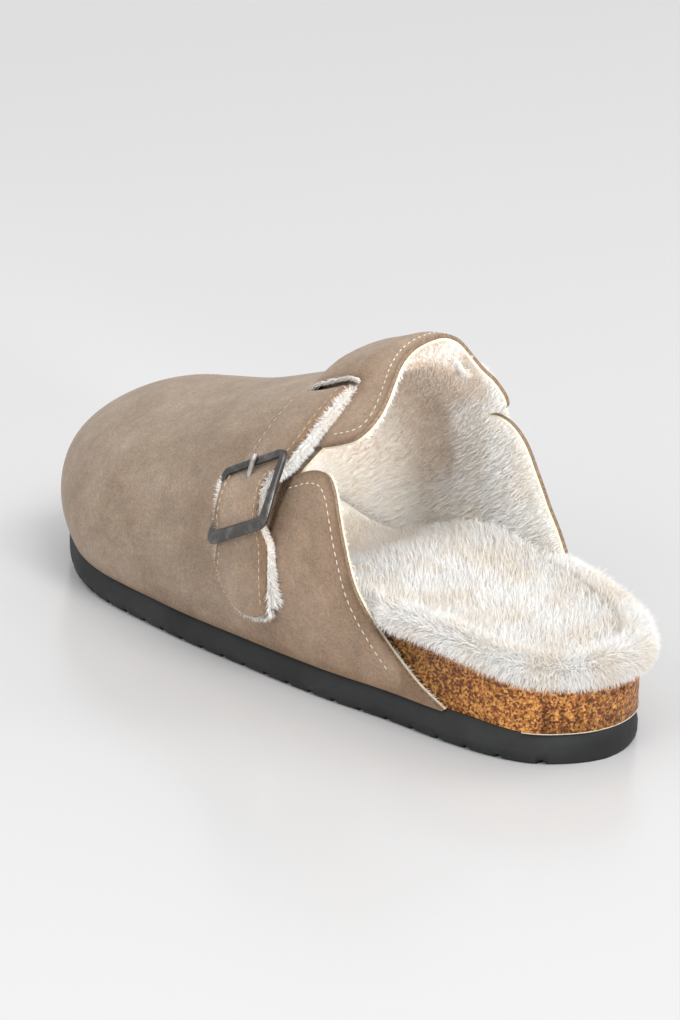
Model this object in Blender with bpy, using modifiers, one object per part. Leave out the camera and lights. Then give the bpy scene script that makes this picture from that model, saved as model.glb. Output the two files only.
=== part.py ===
"""A clog slipper for the left foot: suede upper with a strap and buckle, cork footbed, shearling insole.

Metres, +Z up. +X runs from heel to toe, +Y to the outer (lateral) side, and the origin lies on the
floor under the heel. The upper is a flat pattern wrapped over a last, and the last is worked out
from the sections in LAST.
"""
import math

import bmesh
import bpy
import numpy as np
from mathutils import Vector, geometry

# Driving dimensions of the shoe
LENGTH = 0.255
BALL_WIDTH = 0.095
HEEL_WIDTH = 0.067
HEEL_REST = 0.036
INSTEP_HEIGHT = 0.104
TOE_SPRING = 0.009

# Sole
OUTSOLE_THICKNESS = 0.0095
OUTSOLE_STEP = 0.0007
OUTSOLE_CHAMFER = 0.0012
GROOVE_DEPTH = 0.0016
GROOVE_WIDTH = 0.0032
GROOVE_PITCH = 0.0098
GROOVE_WAVE = 0.0016
CORK_RIM = 0.0195
CORK_DISH = 0.0065
CORK_TOE_INSET = 0.0022

# Upper, strap and trims
SUEDE = 0.0022
BRIDGE_LIFT = 0.0075
GAP = 0.0003
EDGE_GAP = 0.0012
STRAP_THICKNESS = 0.0046
STRAP_BRIDGED = 0.0022
STRAP_SUEDE = 0.0024
BAR = 0.0020
BROAD_BAR = 0.0042
PIN = 0.0016
BAR_BOW = 0.0007
PRONG = 0.0012
RIVET_DIAMETER = 0.0100
RIVET_RISE = 0.0018
TAB_LENGTH = 0.0085
TAB_HEIGHT = 0.0100
TAB_THICKNESS = 0.0013

# Shearling insole
PILE = 0.0085
PILE_OVERHANG = 0.0032
LOCK_LENGTH = 0.0070
LOCK_WIDTH = 0.0052
RIM_END = 0.185

# Outline of the sole: station as a share of the length, sides as shares of the local width
OUTLINE = (
    # station, lateral, medial
    (0.000, 0.000, 0.000),
    (0.012, 0.194, 0.194),
    (0.031, 0.306, 0.300),
    (0.071, 0.405, 0.415),
    (0.137, 0.478, 0.485),
    (0.216, 0.524, 0.506),
    (0.314, 0.560, 0.480),
    (0.392, 0.545, 0.432),
    (0.471, 0.520, 0.402),
    (0.549, 0.508, 0.405),
    (0.627, 0.504, 0.440),
    (0.686, 0.506, 0.476),
    (0.745, 0.500, 0.496),
    (0.804, 0.470, 0.492),
    (0.863, 0.400, 0.456),
    (0.922, 0.295, 0.385),
    (0.961, 0.195, 0.320),
    (0.988, 0.070, 0.225),
    (1.000, -0.078, 0.078),
)
WAIST = (0.20, 0.62)

# The last over the sole: its ridge line, and the control points of each side's arch
LAST = (
    # station, ridge height, ridge offset, lateral and medial shoulder, wall, lateral and medial bulge
    (0.000, 1.050, -0.040, 0.50, 0.80, 0.76, 0.28, 0.30),
    (0.250, 1.040, -0.070, 0.48, 0.80, 0.75, 0.32, 0.34),
    (0.345, 0.985, -0.100, 0.46, 0.80, 0.74, 0.34, 0.40),
    (0.425, 0.905, -0.105, 0.47, 0.78, 0.72, 0.31, 0.38),
    (0.520, 0.822, -0.095, 0.50, 0.74, 0.70, 0.25, 0.34),
    (0.600, 0.748, -0.080, 0.54, 0.70, 0.67, 0.21, 0.27),
    (0.690, 0.674, -0.060, 0.52, 0.60, 0.60, 0.24, 0.22),
    (0.800, 0.615, -0.045, 0.45, 0.50, 0.50, 0.33, 0.26),
)
POLE = 0.800
HALF_GIRTH = 0.082
PATTERN_PITCH = 0.0075

# Cut lines of the pattern: station, and girth from 0 on the ridge to 1 at the sole
QUARTER_EDGE = {
    # from the sole up to the front corner of the quarter
    "lateral": (
        (0.145, 1.000),
        (0.185, 0.974),
        (0.221, 0.937),
        (0.249, 0.897),
        (0.274, 0.843),
        (0.294, 0.765),
        (0.309, 0.705),
        (0.325, 0.650),
        (0.345, 0.612),
        (0.370, 0.602),
        (0.398, 0.612),
    ),
    "medial": (
        (0.150, 1.000),
        (0.195, 0.940),
        (0.230, 0.870),
        (0.255, 0.818),
        (0.276, 0.776),
        (0.300, 0.708),
        (0.320, 0.635),
        (0.343, 0.578),
        (0.366, 0.546),
        (0.388, 0.538),
        (0.404, 0.556),
    ),
}
SLIT_END = {"lateral": (0.412, 0.760), "medial": (0.414, 0.690)}
SLIT_WIDTH = 0.0026
FLAP_EDGE = (
    # from the lateral corner over the ridge to the medial corner, girth medial negative
    (0.378, 0.530),
    (0.348, 0.526),
    (0.324, 0.507),
    (0.313, 0.455),
    (0.316, 0.389),
    (0.330, 0.315),
    (0.350, 0.230),
    (0.366, 0.130),
    (0.375, 0.000),
    (0.383, -0.130),
    (0.383, -0.240),
    (0.371, -0.335),
    (0.354, -0.405),
    (0.344, -0.480),
    (0.346, -0.520),
    (0.364, -0.530),
)
BRIDGE_HALF = 0.310
BRIDGE_FRONT = 0.513
SLOT_END = 0.445
STRAP_EDGES = (
    # girth, station of the rear edge, station of the front edge
    (-0.86, 0.362, 0.464),
    (-0.60, 0.372, 0.472),
    (-0.40, 0.382, 0.475),
    (-0.20, 0.393, 0.472),
    (0.00, 0.395, 0.471),
    (0.20, 0.392, 0.472),
    (0.40, 0.386, 0.473),
    (0.52, 0.388, 0.474),
    (0.62, 0.401, 0.478),
    (0.74, 0.401, 0.478),
    (0.82, 0.392, 0.484),
    (0.95, 0.389, 0.482),
)
STRAP_MEDIAL_END = -0.74
STRAP_TAIL_END = 0.928
BUCKLE_GIRTH = 0.690
BUCKLE_TOP = 0.089
BUCKLE_BOTTOM = 0.068
BUCKLE_TILT = 0.027
RIVET_GIRTH = -0.640
TAB_GIRTH = -0.47


def smooth(x, knots, values):
    """A smooth curve through the knots: cubic pieces whose slopes come from both neighbours."""
    knots = np.asarray(knots, float)
    values = np.asarray(values, float)
    steps = np.diff(knots)
    rises = np.diff(values) / steps
    slopes = np.empty(len(knots))
    slopes[1:-1] = (rises[:-1] * steps[1:] + rises[1:] * steps[:-1]) / (steps[:-1] + steps[1:])
    slopes[0] = rises[0]
    slopes[-1] = rises[-1]
    x = np.clip(np.asarray(x, float), knots[0], knots[-1])
    i = np.clip(np.searchsorted(knots, x, side="right") - 1, 0, len(steps) - 1)
    t = (x - knots[i]) / steps[i]
    h00 = (1 + 2 * t) * (1 - t) ** 2
    h10 = t * (1 - t) ** 2
    h01 = t * t * (3 - 2 * t)
    h11 = t * t * (t - 1)
    return (
        h00 * values[i] + h10 * steps[i] * slopes[i] + h01 * values[i + 1] + h11 * steps[i] * slopes[i + 1]
    )


def ease(t):
    t = np.clip(t, 0, 1)
    return t * t * (3 - 2 * t)


def round_station(u):
    """Turns a share of the length into an angle, so that both ends of the outline come out round."""
    return np.arccos(1 - 2 * np.clip(u, 0, 1))


def local_width(u):
    return HEEL_WIDTH + (BALL_WIDTH - HEEL_WIDTH) * ease((u - WAIST[0]) / (WAIST[1] - WAIST[0]))


def sides(u):
    """Lateral and medial edge of the sole at a station, as y values."""
    rows = np.array(OUTLINE)
    knots = round_station(rows[:, 0])
    lateral = smooth(round_station(u), knots, rows[:, 1])
    medial = smooth(round_station(u), knots, rows[:, 2])
    width = local_width(u)
    return lateral * width, -medial * width


def rise(u):
    """Height of the sole's underside: flat to the ball, then the toe spring."""
    return TOE_SPRING * np.clip((u - 0.725) / 0.275, 0, 1) ** 2


def sole_top(u):
    return rise(u) + OUTSOLE_THICKNESS


def from_heel(u):
    return np.asarray(u, float) * LENGTH - HEEL_REST


def last_row(u):
    """Ridge height and offset, both shoulders, wall and both bulges at a station behind the toe's pole."""
    rows = np.array(LAST)
    height, offset, *fullness = (float(smooth(u, rows[:, 0], column)) for column in rows[:, 1:].T)
    return height * INSTEP_HEIGHT, offset * float(local_width(u)), *fullness


def toe_reach():
    """Angle and distance of the outline from the toe's pole, for the fan of sections round the toe."""
    u = POLE + (1 - POLE) * np.sin(np.linspace(0, math.pi / 2, 60))
    lateral, medial = sides(u)
    centre = last_row(POLE)[1]
    x = np.concatenate([from_heel(u), from_heel(u[-2::-1])]) - from_heel(POLE)
    y = np.concatenate([lateral, medial[-2::-1]]) - centre
    angle = np.arctan2(y, x)
    order = np.argsort(angle)
    return angle[order], np.hypot(x, y)[order]


TOE_ANGLES, TOE_REACHES = toe_reach()


def arch(k, top, side, base, bulge, reach, height, tilt):
    """One half section of the last: how far out and how high, k from the ridge to the sole."""
    out = 3 * (1 - k) ** 2 * k * top * reach + 3 * (1 - k) * k * k * (1 + bulge) * reach + k**3 * reach
    up = (
        (1 - k) ** 3 * height
        + 3 * (1 - k) ** 2 * k * (height + tilt * top * reach)
        + 3 * (1 - k) * k * k * (base + side * (height - base))
        + k**3 * base
    )
    return out, up


def last(u, k):
    """A point on the outer face of the upper: station u, girth k (medial negative), as x, y, z.

    Past the pole the sections fan out round the toe: u then runs on along the outline's angle.
    """
    u = float(u)
    height, offset, lateral_top, medial_top, side, lateral_bulge, medial_bulge = last_row(u)
    lateral, medial = sides(u)
    base = float(sole_top(u)) + GAP
    if k >= 0:
        out, up = arch(k, lateral_top, side, base, lateral_bulge, lateral - offset, height, 0)
    else:
        out, up = arch(-k, medial_top, side, base, medial_bulge, offset - medial, height, 0)
    return np.array([from_heel(u), offset + math.copysign(out, k), up])


def toe_last(angle, k):
    """A point on the toe: direction from the pole, 0 straight ahead, and girth 0 to 1."""
    height, offset, lateral_top, medial_top, side, lateral_bulge, medial_bulge = last_row(POLE)
    slope = (last_row(POLE)[0] - last_row(POLE - 0.01)[0]) / (0.01 * LENGTH)
    reach = float(np.interp(angle, TOE_ANGLES, TOE_REACHES))
    u = POLE + max(0.0, reach * math.cos(angle)) / LENGTH
    turned = 0.5 + 0.5 * math.sin(angle)
    top = medial_top + (lateral_top - medial_top) * turned
    bulge = medial_bulge + (lateral_bulge - medial_bulge) * turned
    base = float(sole_top(u)) + GAP
    out, up = arch(k, top, side, base, bulge, reach, height, slope * math.cos(angle))
    return np.array([from_heel(POLE) + out * math.cos(angle), offset + out * math.sin(angle), up])


def last_point(p, q):
    """The last's point for a place on the flat pattern: p along, q across, -1 to 1 at the sole's edge."""
    if p <= POLE:
        return last(p, q)
    ahead = (p - POLE) / (1 - POLE)
    return toe_last(math.atan2(q, ahead), min(1.0, math.hypot(q, ahead)))


def bridge_lift(p, q):
    """How far the upper stands off the last where its bridge and flap rise over the strap."""
    along = ease((BRIDGE_FRONT - p) / 0.052) * (0.30 + 0.70 * ease((p - 0.335) / 0.075))
    across = 1 - ease((abs(q) - 0.20) / 0.26)
    return float(BRIDGE_LIFT * along * across)


def pattern_point(p, q):
    """A point on the outer face of the upper."""
    return last_point(p, q) + np.array([0, 0, bridge_lift(p, q)])


def last_normal(p, q):
    """Outward normal of the last at a place on the pattern."""
    step = 0.004
    along = last_point(p + step, q) - last_point(p - step, q)
    across = last_point(p, q + step) - last_point(p, q - step)
    normal = np.cross(along, across)
    return normal / np.linalg.norm(normal)


def above_last(u, k, offset):
    """A point that lies offset outside the last, for what is worn over the upper."""
    return last_point(u, k) + last_normal(u, k) * offset


def strap_edges(k):
    """Rear and front edge of the strap at a girth, as stations."""
    rows = np.array(STRAP_EDGES)
    return float(smooth(k, rows[:, 0], rows[:, 1])), float(smooth(k, rows[:, 0], rows[:, 2]))


def worn_over(k):
    """0 where the strap lies under the upper's bridge, 1 where it lies over the upper's sides."""
    return float(ease((abs(k) - BRIDGE_HALF) / 0.11))


def at_buckle(k):
    return math.exp(-(((k - BUCKLE_GIRTH) / 0.075) ** 4))


def pin_height():
    """Height of the buckle's centre bar over the upper: the prong's loop goes round it."""
    return GAP + PRONG + GAP + PIN / 2


def strap_faces(k):
    """How far the strap's inner and outer face lie outside the last at a girth."""
    roof = min(bridge_lift(u, k) * last_normal(u, k)[2] for u in strap_edges(k)) - SUEDE - 1.5 * EDGE_GAP
    over = worn_over(k)
    inner = roof - STRAP_BRIDGED + (GAP - roof + STRAP_BRIDGED) * over
    outer = roof + (GAP + STRAP_THICKNESS - roof) * over
    buckle = at_buckle(k)
    pinned = 2 * pin_height() + 2 * BAR_BOW
    return inner + (pinned - inner) * buckle, outer + (pinned + STRAP_SUEDE - outer) * buckle


def strap_point(k, across, offset):
    """A point by the strap: girth, -1 to 1 from its rear to its front edge, and height over the last."""
    rear, front = strap_edges(k)
    station = rear + (front - rear) * (across + 1) / 2
    return above_last(station, k, offset)


def curve_points(rows, per_span):
    """Smooth points through a short table of (station, girth) rows, evenly along its spans."""
    rows = np.array(rows)
    knots = np.arange(len(rows))
    at = np.linspace(0, len(rows) - 1, per_span * (len(rows) - 1) + 1)
    return [(float(a), float(b)) for a, b in zip(smooth(at, knots, rows[:, 0]), smooth(at, knots, rows[:, 1]))]


def new_material(name, colour, roughness, metallic=0.0):
    material = bpy.data.materials.new(name)
    material.use_nodes = True
    shader = material.node_tree.nodes["Principled BSDF"]
    shader.inputs["Base Color"].default_value = (*colour, 1)
    shader.inputs["Roughness"].default_value = roughness
    shader.inputs["Metallic"].default_value = metallic
    return material


def new_object(name, mesh, material, collection):
    obj = bpy.data.objects.new(name, mesh)
    collection.objects.link(obj)
    if material:
        mesh.materials.append(material)
    return obj


def mesh_from(name, bm):
    mesh = bpy.data.meshes.new(name)
    bm.to_mesh(mesh)
    bm.free()
    return mesh


def solid_mesh(name, bm):
    """A mesh from a closed shape, with its faces pointing out."""
    bmesh.ops.recalc_face_normals(bm, faces=bm.faces)
    if bm.calc_volume(signed=True) < 0:
        bmesh.ops.reverse_faces(bm, faces=bm.faces)
    return mesh_from(name, bm)


def closed_loft(name, sections):
    """A solid through closed sections that all have the same number of points."""
    bm = bmesh.new()
    rings = [[bm.verts.new(point) for point in section] for section in sections]
    count = len(rings[0])
    for first, second in zip(rings, rings[1:]):
        for i in range(count):
            j = (i + 1) % count
            bm.faces.new((first[i], first[j], second[j], second[i]))
    bm.faces.new(rings[0][::-1])
    bm.faces.new(rings[-1])
    bmesh.ops.remove_doubles(bm, verts=bm.verts, dist=0.00001)
    bmesh.ops.triangulate(bm, faces=[face for face in bm.faces if len(face.verts) > 4])
    return solid_mesh(name, bm)


def stations(count, start=0.0, end=1.0):
    """Stations that crowd towards both round ends of the sole."""
    angles = np.linspace(round_station(start), round_station(end), count)
    return (1 - np.cos(angles)) / 2


def add_boolean(obj, cutter, operation):
    modifier = obj.modifiers.new(operation.title(), "BOOLEAN")
    modifier.operation = operation
    modifier.solver = "EXACT"
    modifier.use_self = operation == "UNION"
    modifier.object = cutter
    cutter.hide_render = True
    cutter.display_type = "WIRE"


def build_outsole(collection):
    material = new_material("outsole_rubber", (0.035, 0.037, 0.040), 0.62)
    sections = []
    for u in stations(56):
        lateral, medial = (float(v) for v in sides(u))
        x = float(from_heel(u))
        low = float(rise(u))
        top = float(sole_top(u))
        half = (lateral - medial) / 2
        chamfer = min(OUTSOLE_CHAMFER, half)
        step = min(OUTSOLE_STEP, half)
        mid = low + 0.45 * OUTSOLE_THICKNESS
        sections.append(
            [
                (x, lateral - chamfer, low),
                (x, lateral, low + OUTSOLE_CHAMFER),
                (x, lateral, mid),
                (x, lateral - step, mid + OUTSOLE_STEP),
                (x, lateral - step, top),
                (x, medial + step, top),
                (x, medial + step, mid + OUTSOLE_STEP),
                (x, medial, mid),
                (x, medial, low + OUTSOLE_CHAMFER),
                (x, medial + chamfer, low),
            ]
        )
    return new_object("outsole", closed_loft("outsole", sections), material, collection)


def build_grooves(cutters):
    """Zigzag grooves across the tread, open at both sides, as one cutter."""
    bm = bmesh.new()
    first = GROOVE_PITCH * 0.9
    count = int((LENGTH * 0.965 - first) / GROOVE_PITCH) + 1
    span = BALL_WIDTH * 0.62
    for n in range(count):
        centre = first + n * GROOVE_PITCH
        sections = []
        for i in range(7):
            y = -span + 2 * span * i / 6
            x = centre + GROOVE_WAVE * (1 if i % 2 else -1)
            low = float(rise(centre / LENGTH))
            rear = x - GROOVE_WIDTH / 2 - HEEL_REST
            front = x + GROOVE_WIDTH / 2 - HEEL_REST
            roof = low + GROOVE_DEPTH
            inset = GROOVE_WIDTH * 0.2
            sections.append(
                [(rear, y, low - 0.004), (rear + inset, y, roof), (front - inset, y, roof), (front, y, low - 0.004)]
            )
        groove = closed_loft("groove", sections)
        bm.from_mesh(groove)
        bpy.data.meshes.remove(groove)
    return new_object("tread_grooves", mesh_from("tread_grooves", bm), None, cutters)


def cork_inset(u):
    """The footbed is flush with the sole at the heel and steps in under the upper, most at the toe."""
    return GAP + (SUEDE + 2 * GAP) * ease((u - 0.03) / 0.09) + CORK_TOE_INSET * ease((u - 0.70) / 0.25)


def cork_rim(u):
    """Height of the footbed's rim over the outsole, lateral and medial: high at the arch, low at the toe."""
    rim = CORK_RIM * (1 + 0.20 * ease(u / 0.18) - 0.62 * ease((u - 0.30) / 0.34))
    arch_support = CORK_RIM * 0.30 * math.exp(-(((u - 0.36) / 0.13) ** 2))
    return rim, rim + arch_support


def footbed_row(u, inset, count):
    """Points across the top of the footbed at a station, from lateral to medial."""
    lateral, medial = (float(v) for v in sides(u))
    half = (lateral - medial) / 2
    inset = min(inset, 0.75 * half)
    lateral -= inset
    medial += inset
    rims = cork_rim(u)
    base = float(sole_top(u))
    dish = CORK_DISH * min(1.0, half / (0.35 * HEEL_WIDTH))
    row = []
    for i in range(count):
        across = 1 - 2 * i / (count - 1)
        y = (lateral + medial) / 2 + across * (lateral - medial) / 2
        rim = rims[1] + (rims[0] - rims[1]) * (across + 1) / 2
        hollow = dish * (1 - across**4)
        x = float(from_heel(u)) - (SUEDE + CORK_TOE_INSET) * float(ease((u - 0.70) / 0.30))
        row.append((x, y, base + rim - hollow))
    return row


def build_cork(collection):
    material = new_material("cork", (0.42, 0.22, 0.085), 0.8)
    sections = []
    for u in stations(44, 0.0008, 0.9992):
        inset = float(cork_inset(u))
        row = footbed_row(u, inset, 9)
        base = float(sole_top(u)) + GAP
        low_lateral = (row[0][0], row[0][1], base)
        low_medial = (row[-1][0], row[-1][1], base)
        sections.append([low_lateral, *row, low_medial])
    mesh = closed_loft("cork_footbed", sections)
    return new_object("cork_footbed", mesh, material, collection)


def insole_inset(u):
    """The pile stands over the rim at the open heel and keeps inside the upper further forward."""
    return -PILE_OVERHANG + (PILE_OVERHANG + SUEDE + 0.0033) * ease((u - 0.165) / 0.055)


def pile_row(u, count):
    """Points across the top of the pile at a station, from lateral to medial."""
    pile = PILE * (1 - 0.35 * ease((u - 0.25) / 0.3))
    row = []
    for i, (x, y, z) in enumerate(footbed_row(u, float(insole_inset(u)), count)):
        across = 1 - 2 * i / (count - 1)
        crown = pile * (0.38 + 0.62 * math.sqrt(1 - min(1.0, across * across)))
        row.append((x, y, z + GAP + crown))
    return row


def build_insole(collection):
    material = new_material("shearling", (0.83, 0.79, 0.73), 0.95)
    sections = []
    for u in stations(32, 0.0006, 0.985):
        under = footbed_row(max(u, 0.004), float(cork_inset(u)) + GAP, 9)
        sections.append([(x, y, z + 2 * GAP) for x, y, z in under[::-1]] + pile_row(u, 9))
    return new_object("shearling_insole", closed_loft("shearling_insole", sections), material, collection)


def lock_mesh(bm, root, direction, droop, length, width):
    """One tapering, bending lock of pile."""
    direction = Vector(direction).normalized()
    across = direction.cross(Vector((0, 0, 1)))
    if across.length < 0.1:
        across = Vector((1, 0, 0))
    across.normalize()
    rings = []
    point = Vector(root)
    for share, radius in ((0.0, 0.50), (0.6, 0.36)):
        heading = (direction + Vector((0, 0, -droop * share))).normalized()
        centre = point + heading * length * share
        second = heading.cross(across).normalized()
        ring = []
        for i in range(5):
            angle = 2 * math.pi * i / 5
            spoke = across * math.cos(angle) + second * math.sin(angle)
            ring.append(bm.verts.new(centre + spoke * width * radius))
        rings.append(ring)
    tip = bm.verts.new(point + (direction + Vector((0, 0, -droop * 1.15))).normalized() * length)
    for first, second in zip(rings, rings[1:]):
        for i in range(5):
            j = (i + 1) % 5
            bm.faces.new((first[i], first[j], second[j], second[i]))
    for i in range(5):
        bm.faces.new((rings[-1][i], rings[-1][(i + 1) % 5], tip))
    bm.faces.new(rings[0][::-1])


def rim_roots():
    """Places round the open heel's rim, a lock's width apart, each with its outward direction."""
    lateral = [(u, 0) for u in np.linspace(RIM_END, 0.0006, 90)]
    medial = [(u, -1) for u in np.linspace(0.0006, RIM_END, 90)[1:]]
    points = [Vector(pile_row(u, 9)[end]) for u, end in lateral + medial]
    roots = []
    travelled = 0.0
    for before, point, after in zip(points, points[1:], points[2:]):
        travelled += (point - before).length
        if travelled < LOCK_WIDTH * 0.95:
            continue
        travelled = 0.0
        tangent = (after - before).normalized()
        roots.append((point, Vector((tangent.y, -tangent.x, 0)) * -1))
    return roots


def build_locks(cutters):
    """Locks of pile round the open heel and over the footbed, to be fused on."""
    bm = bmesh.new()
    rng = np.random.default_rng(7)
    for point, outward in rim_roots():
        if outward.dot(point) < 0:
            outward = -outward
        root = point - outward * 0.0030 - Vector((0, 0, 0.0006))
        heading = outward + Vector(rng.normal(0, 0.12, 3))
        lock_mesh(bm, root, heading, 0.55, LOCK_LENGTH * rng.uniform(0.8, 1.0), LOCK_WIDTH)
    for i in range(9):
        for j in range(4):
            u = 0.055 + 0.040 * i + rng.uniform(-0.006, 0.006)
            across = -0.55 + 0.30 * j + 0.15 * (i % 2) + rng.uniform(-0.03, 0.03)
            x, y, z = pile_row(u, 41)[int(round((1 - across) * 20))]
            heading = Vector(rng.normal(0, 0.5, 3)) + Vector((0, 0, 0.9))
            lock_mesh(bm, (x, y, z - 0.0028), heading, 0.2, LOCK_LENGTH * 0.8, LOCK_WIDTH)
    return new_object("pile_locks", solid_mesh("pile_locks", bm), None, cutters)


def sole_edge(start, end, count):
    """The pattern's lower edge from one station round the toe to another, lateral side first."""
    lateral = [(u, 1.0) for u in np.linspace(start, POLE, count)[:-1]]
    toe = []
    for i in range(2 * count // 3 + 1):
        angle = math.pi / 2 - math.pi * i / (2 * count // 3)
        toe.append((POLE + (1 - POLE) * math.cos(angle), math.sin(angle)))
    medial = [(u, -1.0) for u in np.linspace(POLE, end, count)[1:]]
    return lateral + toe + medial


def slot_edge(side):
    """The cut beside the strap, from the quarter's front corner round to the bridge's rear corner."""
    sign = 1 if side == "lateral" else -1
    corner = QUARTER_EDGE[side][-1]
    low_station, low_girth = SLIT_END[side]
    half = SLIT_WIDTH / 2 / LENGTH
    gap = EDGE_GAP / LENGTH
    points = []
    for t in (0.33, 0.66):
        station = corner[0] + (low_station - half - corner[0]) * t
        points.append((station, sign * (corner[1] + (low_girth - 0.012 - corner[1]) * t)))
    points.append((low_station - half, sign * (low_girth - 0.012)))
    points.append((low_station, sign * low_girth))
    points.append((low_station + half, sign * (low_girth - 0.012)))
    points.append((low_station + half, sign * (corner[1] - 0.02)))
    # the cut swings forward under the strap, which sinks through it to pass below the bridge
    rear_edge, front_edge = strap_edges(sign * BRIDGE_HALF)
    points.append((low_station + half, sign * (SLOT_END + 0.050)))
    points.append((low_station + 0.3 * (front_edge - low_station), sign * (SLOT_END + 0.012)))
    points.append((low_station + 0.7 * (front_edge - low_station), sign * SLOT_END))
    points.append((strap_edges(sign * SLOT_END)[1] + gap, sign * (SLOT_END - 0.015)))
    points.append((strap_edges(sign * 0.37)[1] + gap, sign * 0.37))
    points.append((front_edge + gap, sign * (BRIDGE_HALF + 0.012)))
    points.append((front_edge - gap, sign * BRIDGE_HALF))
    points.append(((front_edge + rear_edge) / 2, sign * (BRIDGE_HALF - 0.010)))
    points.append((rear_edge + gap, sign * BRIDGE_HALF))
    points.append((rear_edge - gap, sign * (BRIDGE_HALF + 0.012)))
    flap_corner = FLAP_EDGE[0] if side == "lateral" else FLAP_EDGE[-1]
    for share in (0.35, 0.7):
        k = BRIDGE_HALF + 0.012 + (abs(flap_corner[1]) - BRIDGE_HALF - 0.024) * share
        points.append((strap_edges(sign * k)[0] - gap, sign * k))
    points.append((flap_corner[0] + 0.006, sign * (abs(flap_corner[1]) - 0.012)))
    return points


def upper_outline():
    """The whole cut edge of the upper on the flat pattern, once round."""
    lateral = curve_points(QUARTER_EDGE["lateral"], 3)
    medial = [(u, -k) for u, k in curve_points(QUARTER_EDGE["medial"], 3)]
    points = sole_edge(lateral[0][0], medial[0][0], 30)
    points += medial[1:]
    points += slot_edge("medial")
    points += curve_points(FLAP_EDGE, 3)[::-1]
    points += slot_edge("lateral")[::-1]
    points += lateral[:0:-1]
    return points


def spread(p, q):
    """Stretches the pattern so that its triangles come out even on the last."""
    ahead = max(0.0, p - POLE)
    return LENGTH * min(p, POLE) + HALF_GIRTH * ahead / (1 - POLE), HALF_GIRTH * q


def unspread(x, y):
    ahead = max(0.0, x - LENGTH * POLE)
    return min(x / LENGTH, POLE) + (1 - POLE) * ahead / HALF_GIRTH, y / HALF_GIRTH


def inside(points, outline):
    """Which points lie inside a closed outline, by counting crossings."""
    ends = np.roll(outline, -1, axis=0)
    found = np.zeros(len(points), bool)
    for (x0, y0), (x1, y1) in zip(outline, ends):
        crosses = (y0 > points[:, 1]) != (y1 > points[:, 1])
        if y1 != y0:
            found ^= crosses & (points[:, 0] < x0 + (points[:, 1] - y0) * (x1 - x0) / (y1 - y0))
    return found


def edge_distance(points, outline):
    ends = np.roll(outline, -1, axis=0)
    nearest = np.full(len(points), np.inf)
    for first, second in zip(outline, ends):
        along = second - first
        t = np.clip((points - first) @ along / max(along @ along, 1e-12), 0, 1)
        nearest = np.minimum(nearest, np.linalg.norm(points - first - t[:, None] * along, axis=1))
    return nearest


def wrapped_sheet(outline, pitch, wrap):
    """Triangulates a flat outline and wraps it over the last."""
    flat = np.array([spread(p, q) for p, q in outline])
    rows = []
    low = flat.min(axis=0)
    high = flat.max(axis=0)
    height = pitch * math.sqrt(3) / 2
    for j in range(int((high[1] - low[1]) / height) + 1):
        for i in range(int((high[0] - low[0]) / pitch) + 1):
            rows.append((low[0] + (i + 0.5 * (j % 2)) * pitch, low[1] + j * height))
    grid = np.array(rows)
    grid = grid[inside(grid, flat)]
    grid = grid[edge_distance(grid, flat) > 0.45 * pitch]
    corners = [Vector(point) for point in flat] + [Vector(point) for point in grid]
    face = list(range(len(flat)))
    found, _, triangles, *_ = geometry.delaunay_2d_cdt(corners, [], [face], 1, 1e-8)
    bm = bmesh.new()
    verts = [bm.verts.new(wrap(*unspread(point.x, point.y))) for point in found]
    for triangle in triangles:
        bm.faces.new([verts[i] for i in triangle])
    loose = [vert for vert in bm.verts if not vert.link_faces]
    bmesh.ops.delete(bm, geom=loose, context="VERTS")
    bmesh.ops.recalc_face_normals(bm, faces=bm.faces)
    return bm


def solid_sheet(name, bm, thickness, material, collection):
    """Gives a wrapped sheet its wall, inwards from the face that shows."""
    bm.faces.ensure_lookup_table()
    highest = max(bm.faces, key=lambda face: face.calc_center_median().z)
    if highest.normal.z < 0:
        bmesh.ops.reverse_faces(bm, faces=bm.faces)
    obj = new_object(name, mesh_from(name, bm), material, collection)
    wall = obj.modifiers.new("Wall", "SOLIDIFY")
    wall.thickness = thickness
    wall.offset = -1
    wall.use_even_offset = True
    return obj


def build_upper(collection):
    material = new_material("suede", (0.36, 0.27, 0.20), 0.9)
    bm = wrapped_sheet(upper_outline(), PATTERN_PITCH, pattern_point)
    return solid_sheet("upper", bm, SUEDE, material, collection)


def strap_ends(across):
    """Girth at which the strap starts and ends for a place across it: a round end and a slanting tail."""
    round_off = 1 - math.sqrt(max(0.0, 1 - (0.985 * across) ** 2))
    slant = 0.10 * max(0.0, (across + 0.2) / 1.2) ** 2.2
    return STRAP_MEDIAL_END + 0.13 * round_off, STRAP_TAIL_END - slant - 0.015 * max(0.0, -across) ** 6


def build_strap(collection, material):
    sections = []
    steps = 46
    for j in range(steps + 1):
        section = []
        for across, depth in (
            (-0.93, 1.0),
            (-0.5, 1.0),
            (0.0, 1.0),
            (0.5, 1.0),
            (0.93, 1.0),
            (1.0, 0.8),
            (1.0, 0.2),
            (0.93, 0.0),
            (0.5, 0.0),
            (0.0, 0.0),
            (-0.5, 0.0),
            (-0.93, 0.0),
            (-1.0, 0.2),
            (-1.0, 0.8),
        ):
            start, end = strap_ends(across)
            k = start + (end - start) * j / steps
            inner, outer = strap_faces(k)
            section.append(strap_point(k, across, inner + (outer - inner) * depth))
        sections.append(section)
    return new_object("strap", closed_loft("strap", sections), material, collection)


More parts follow.
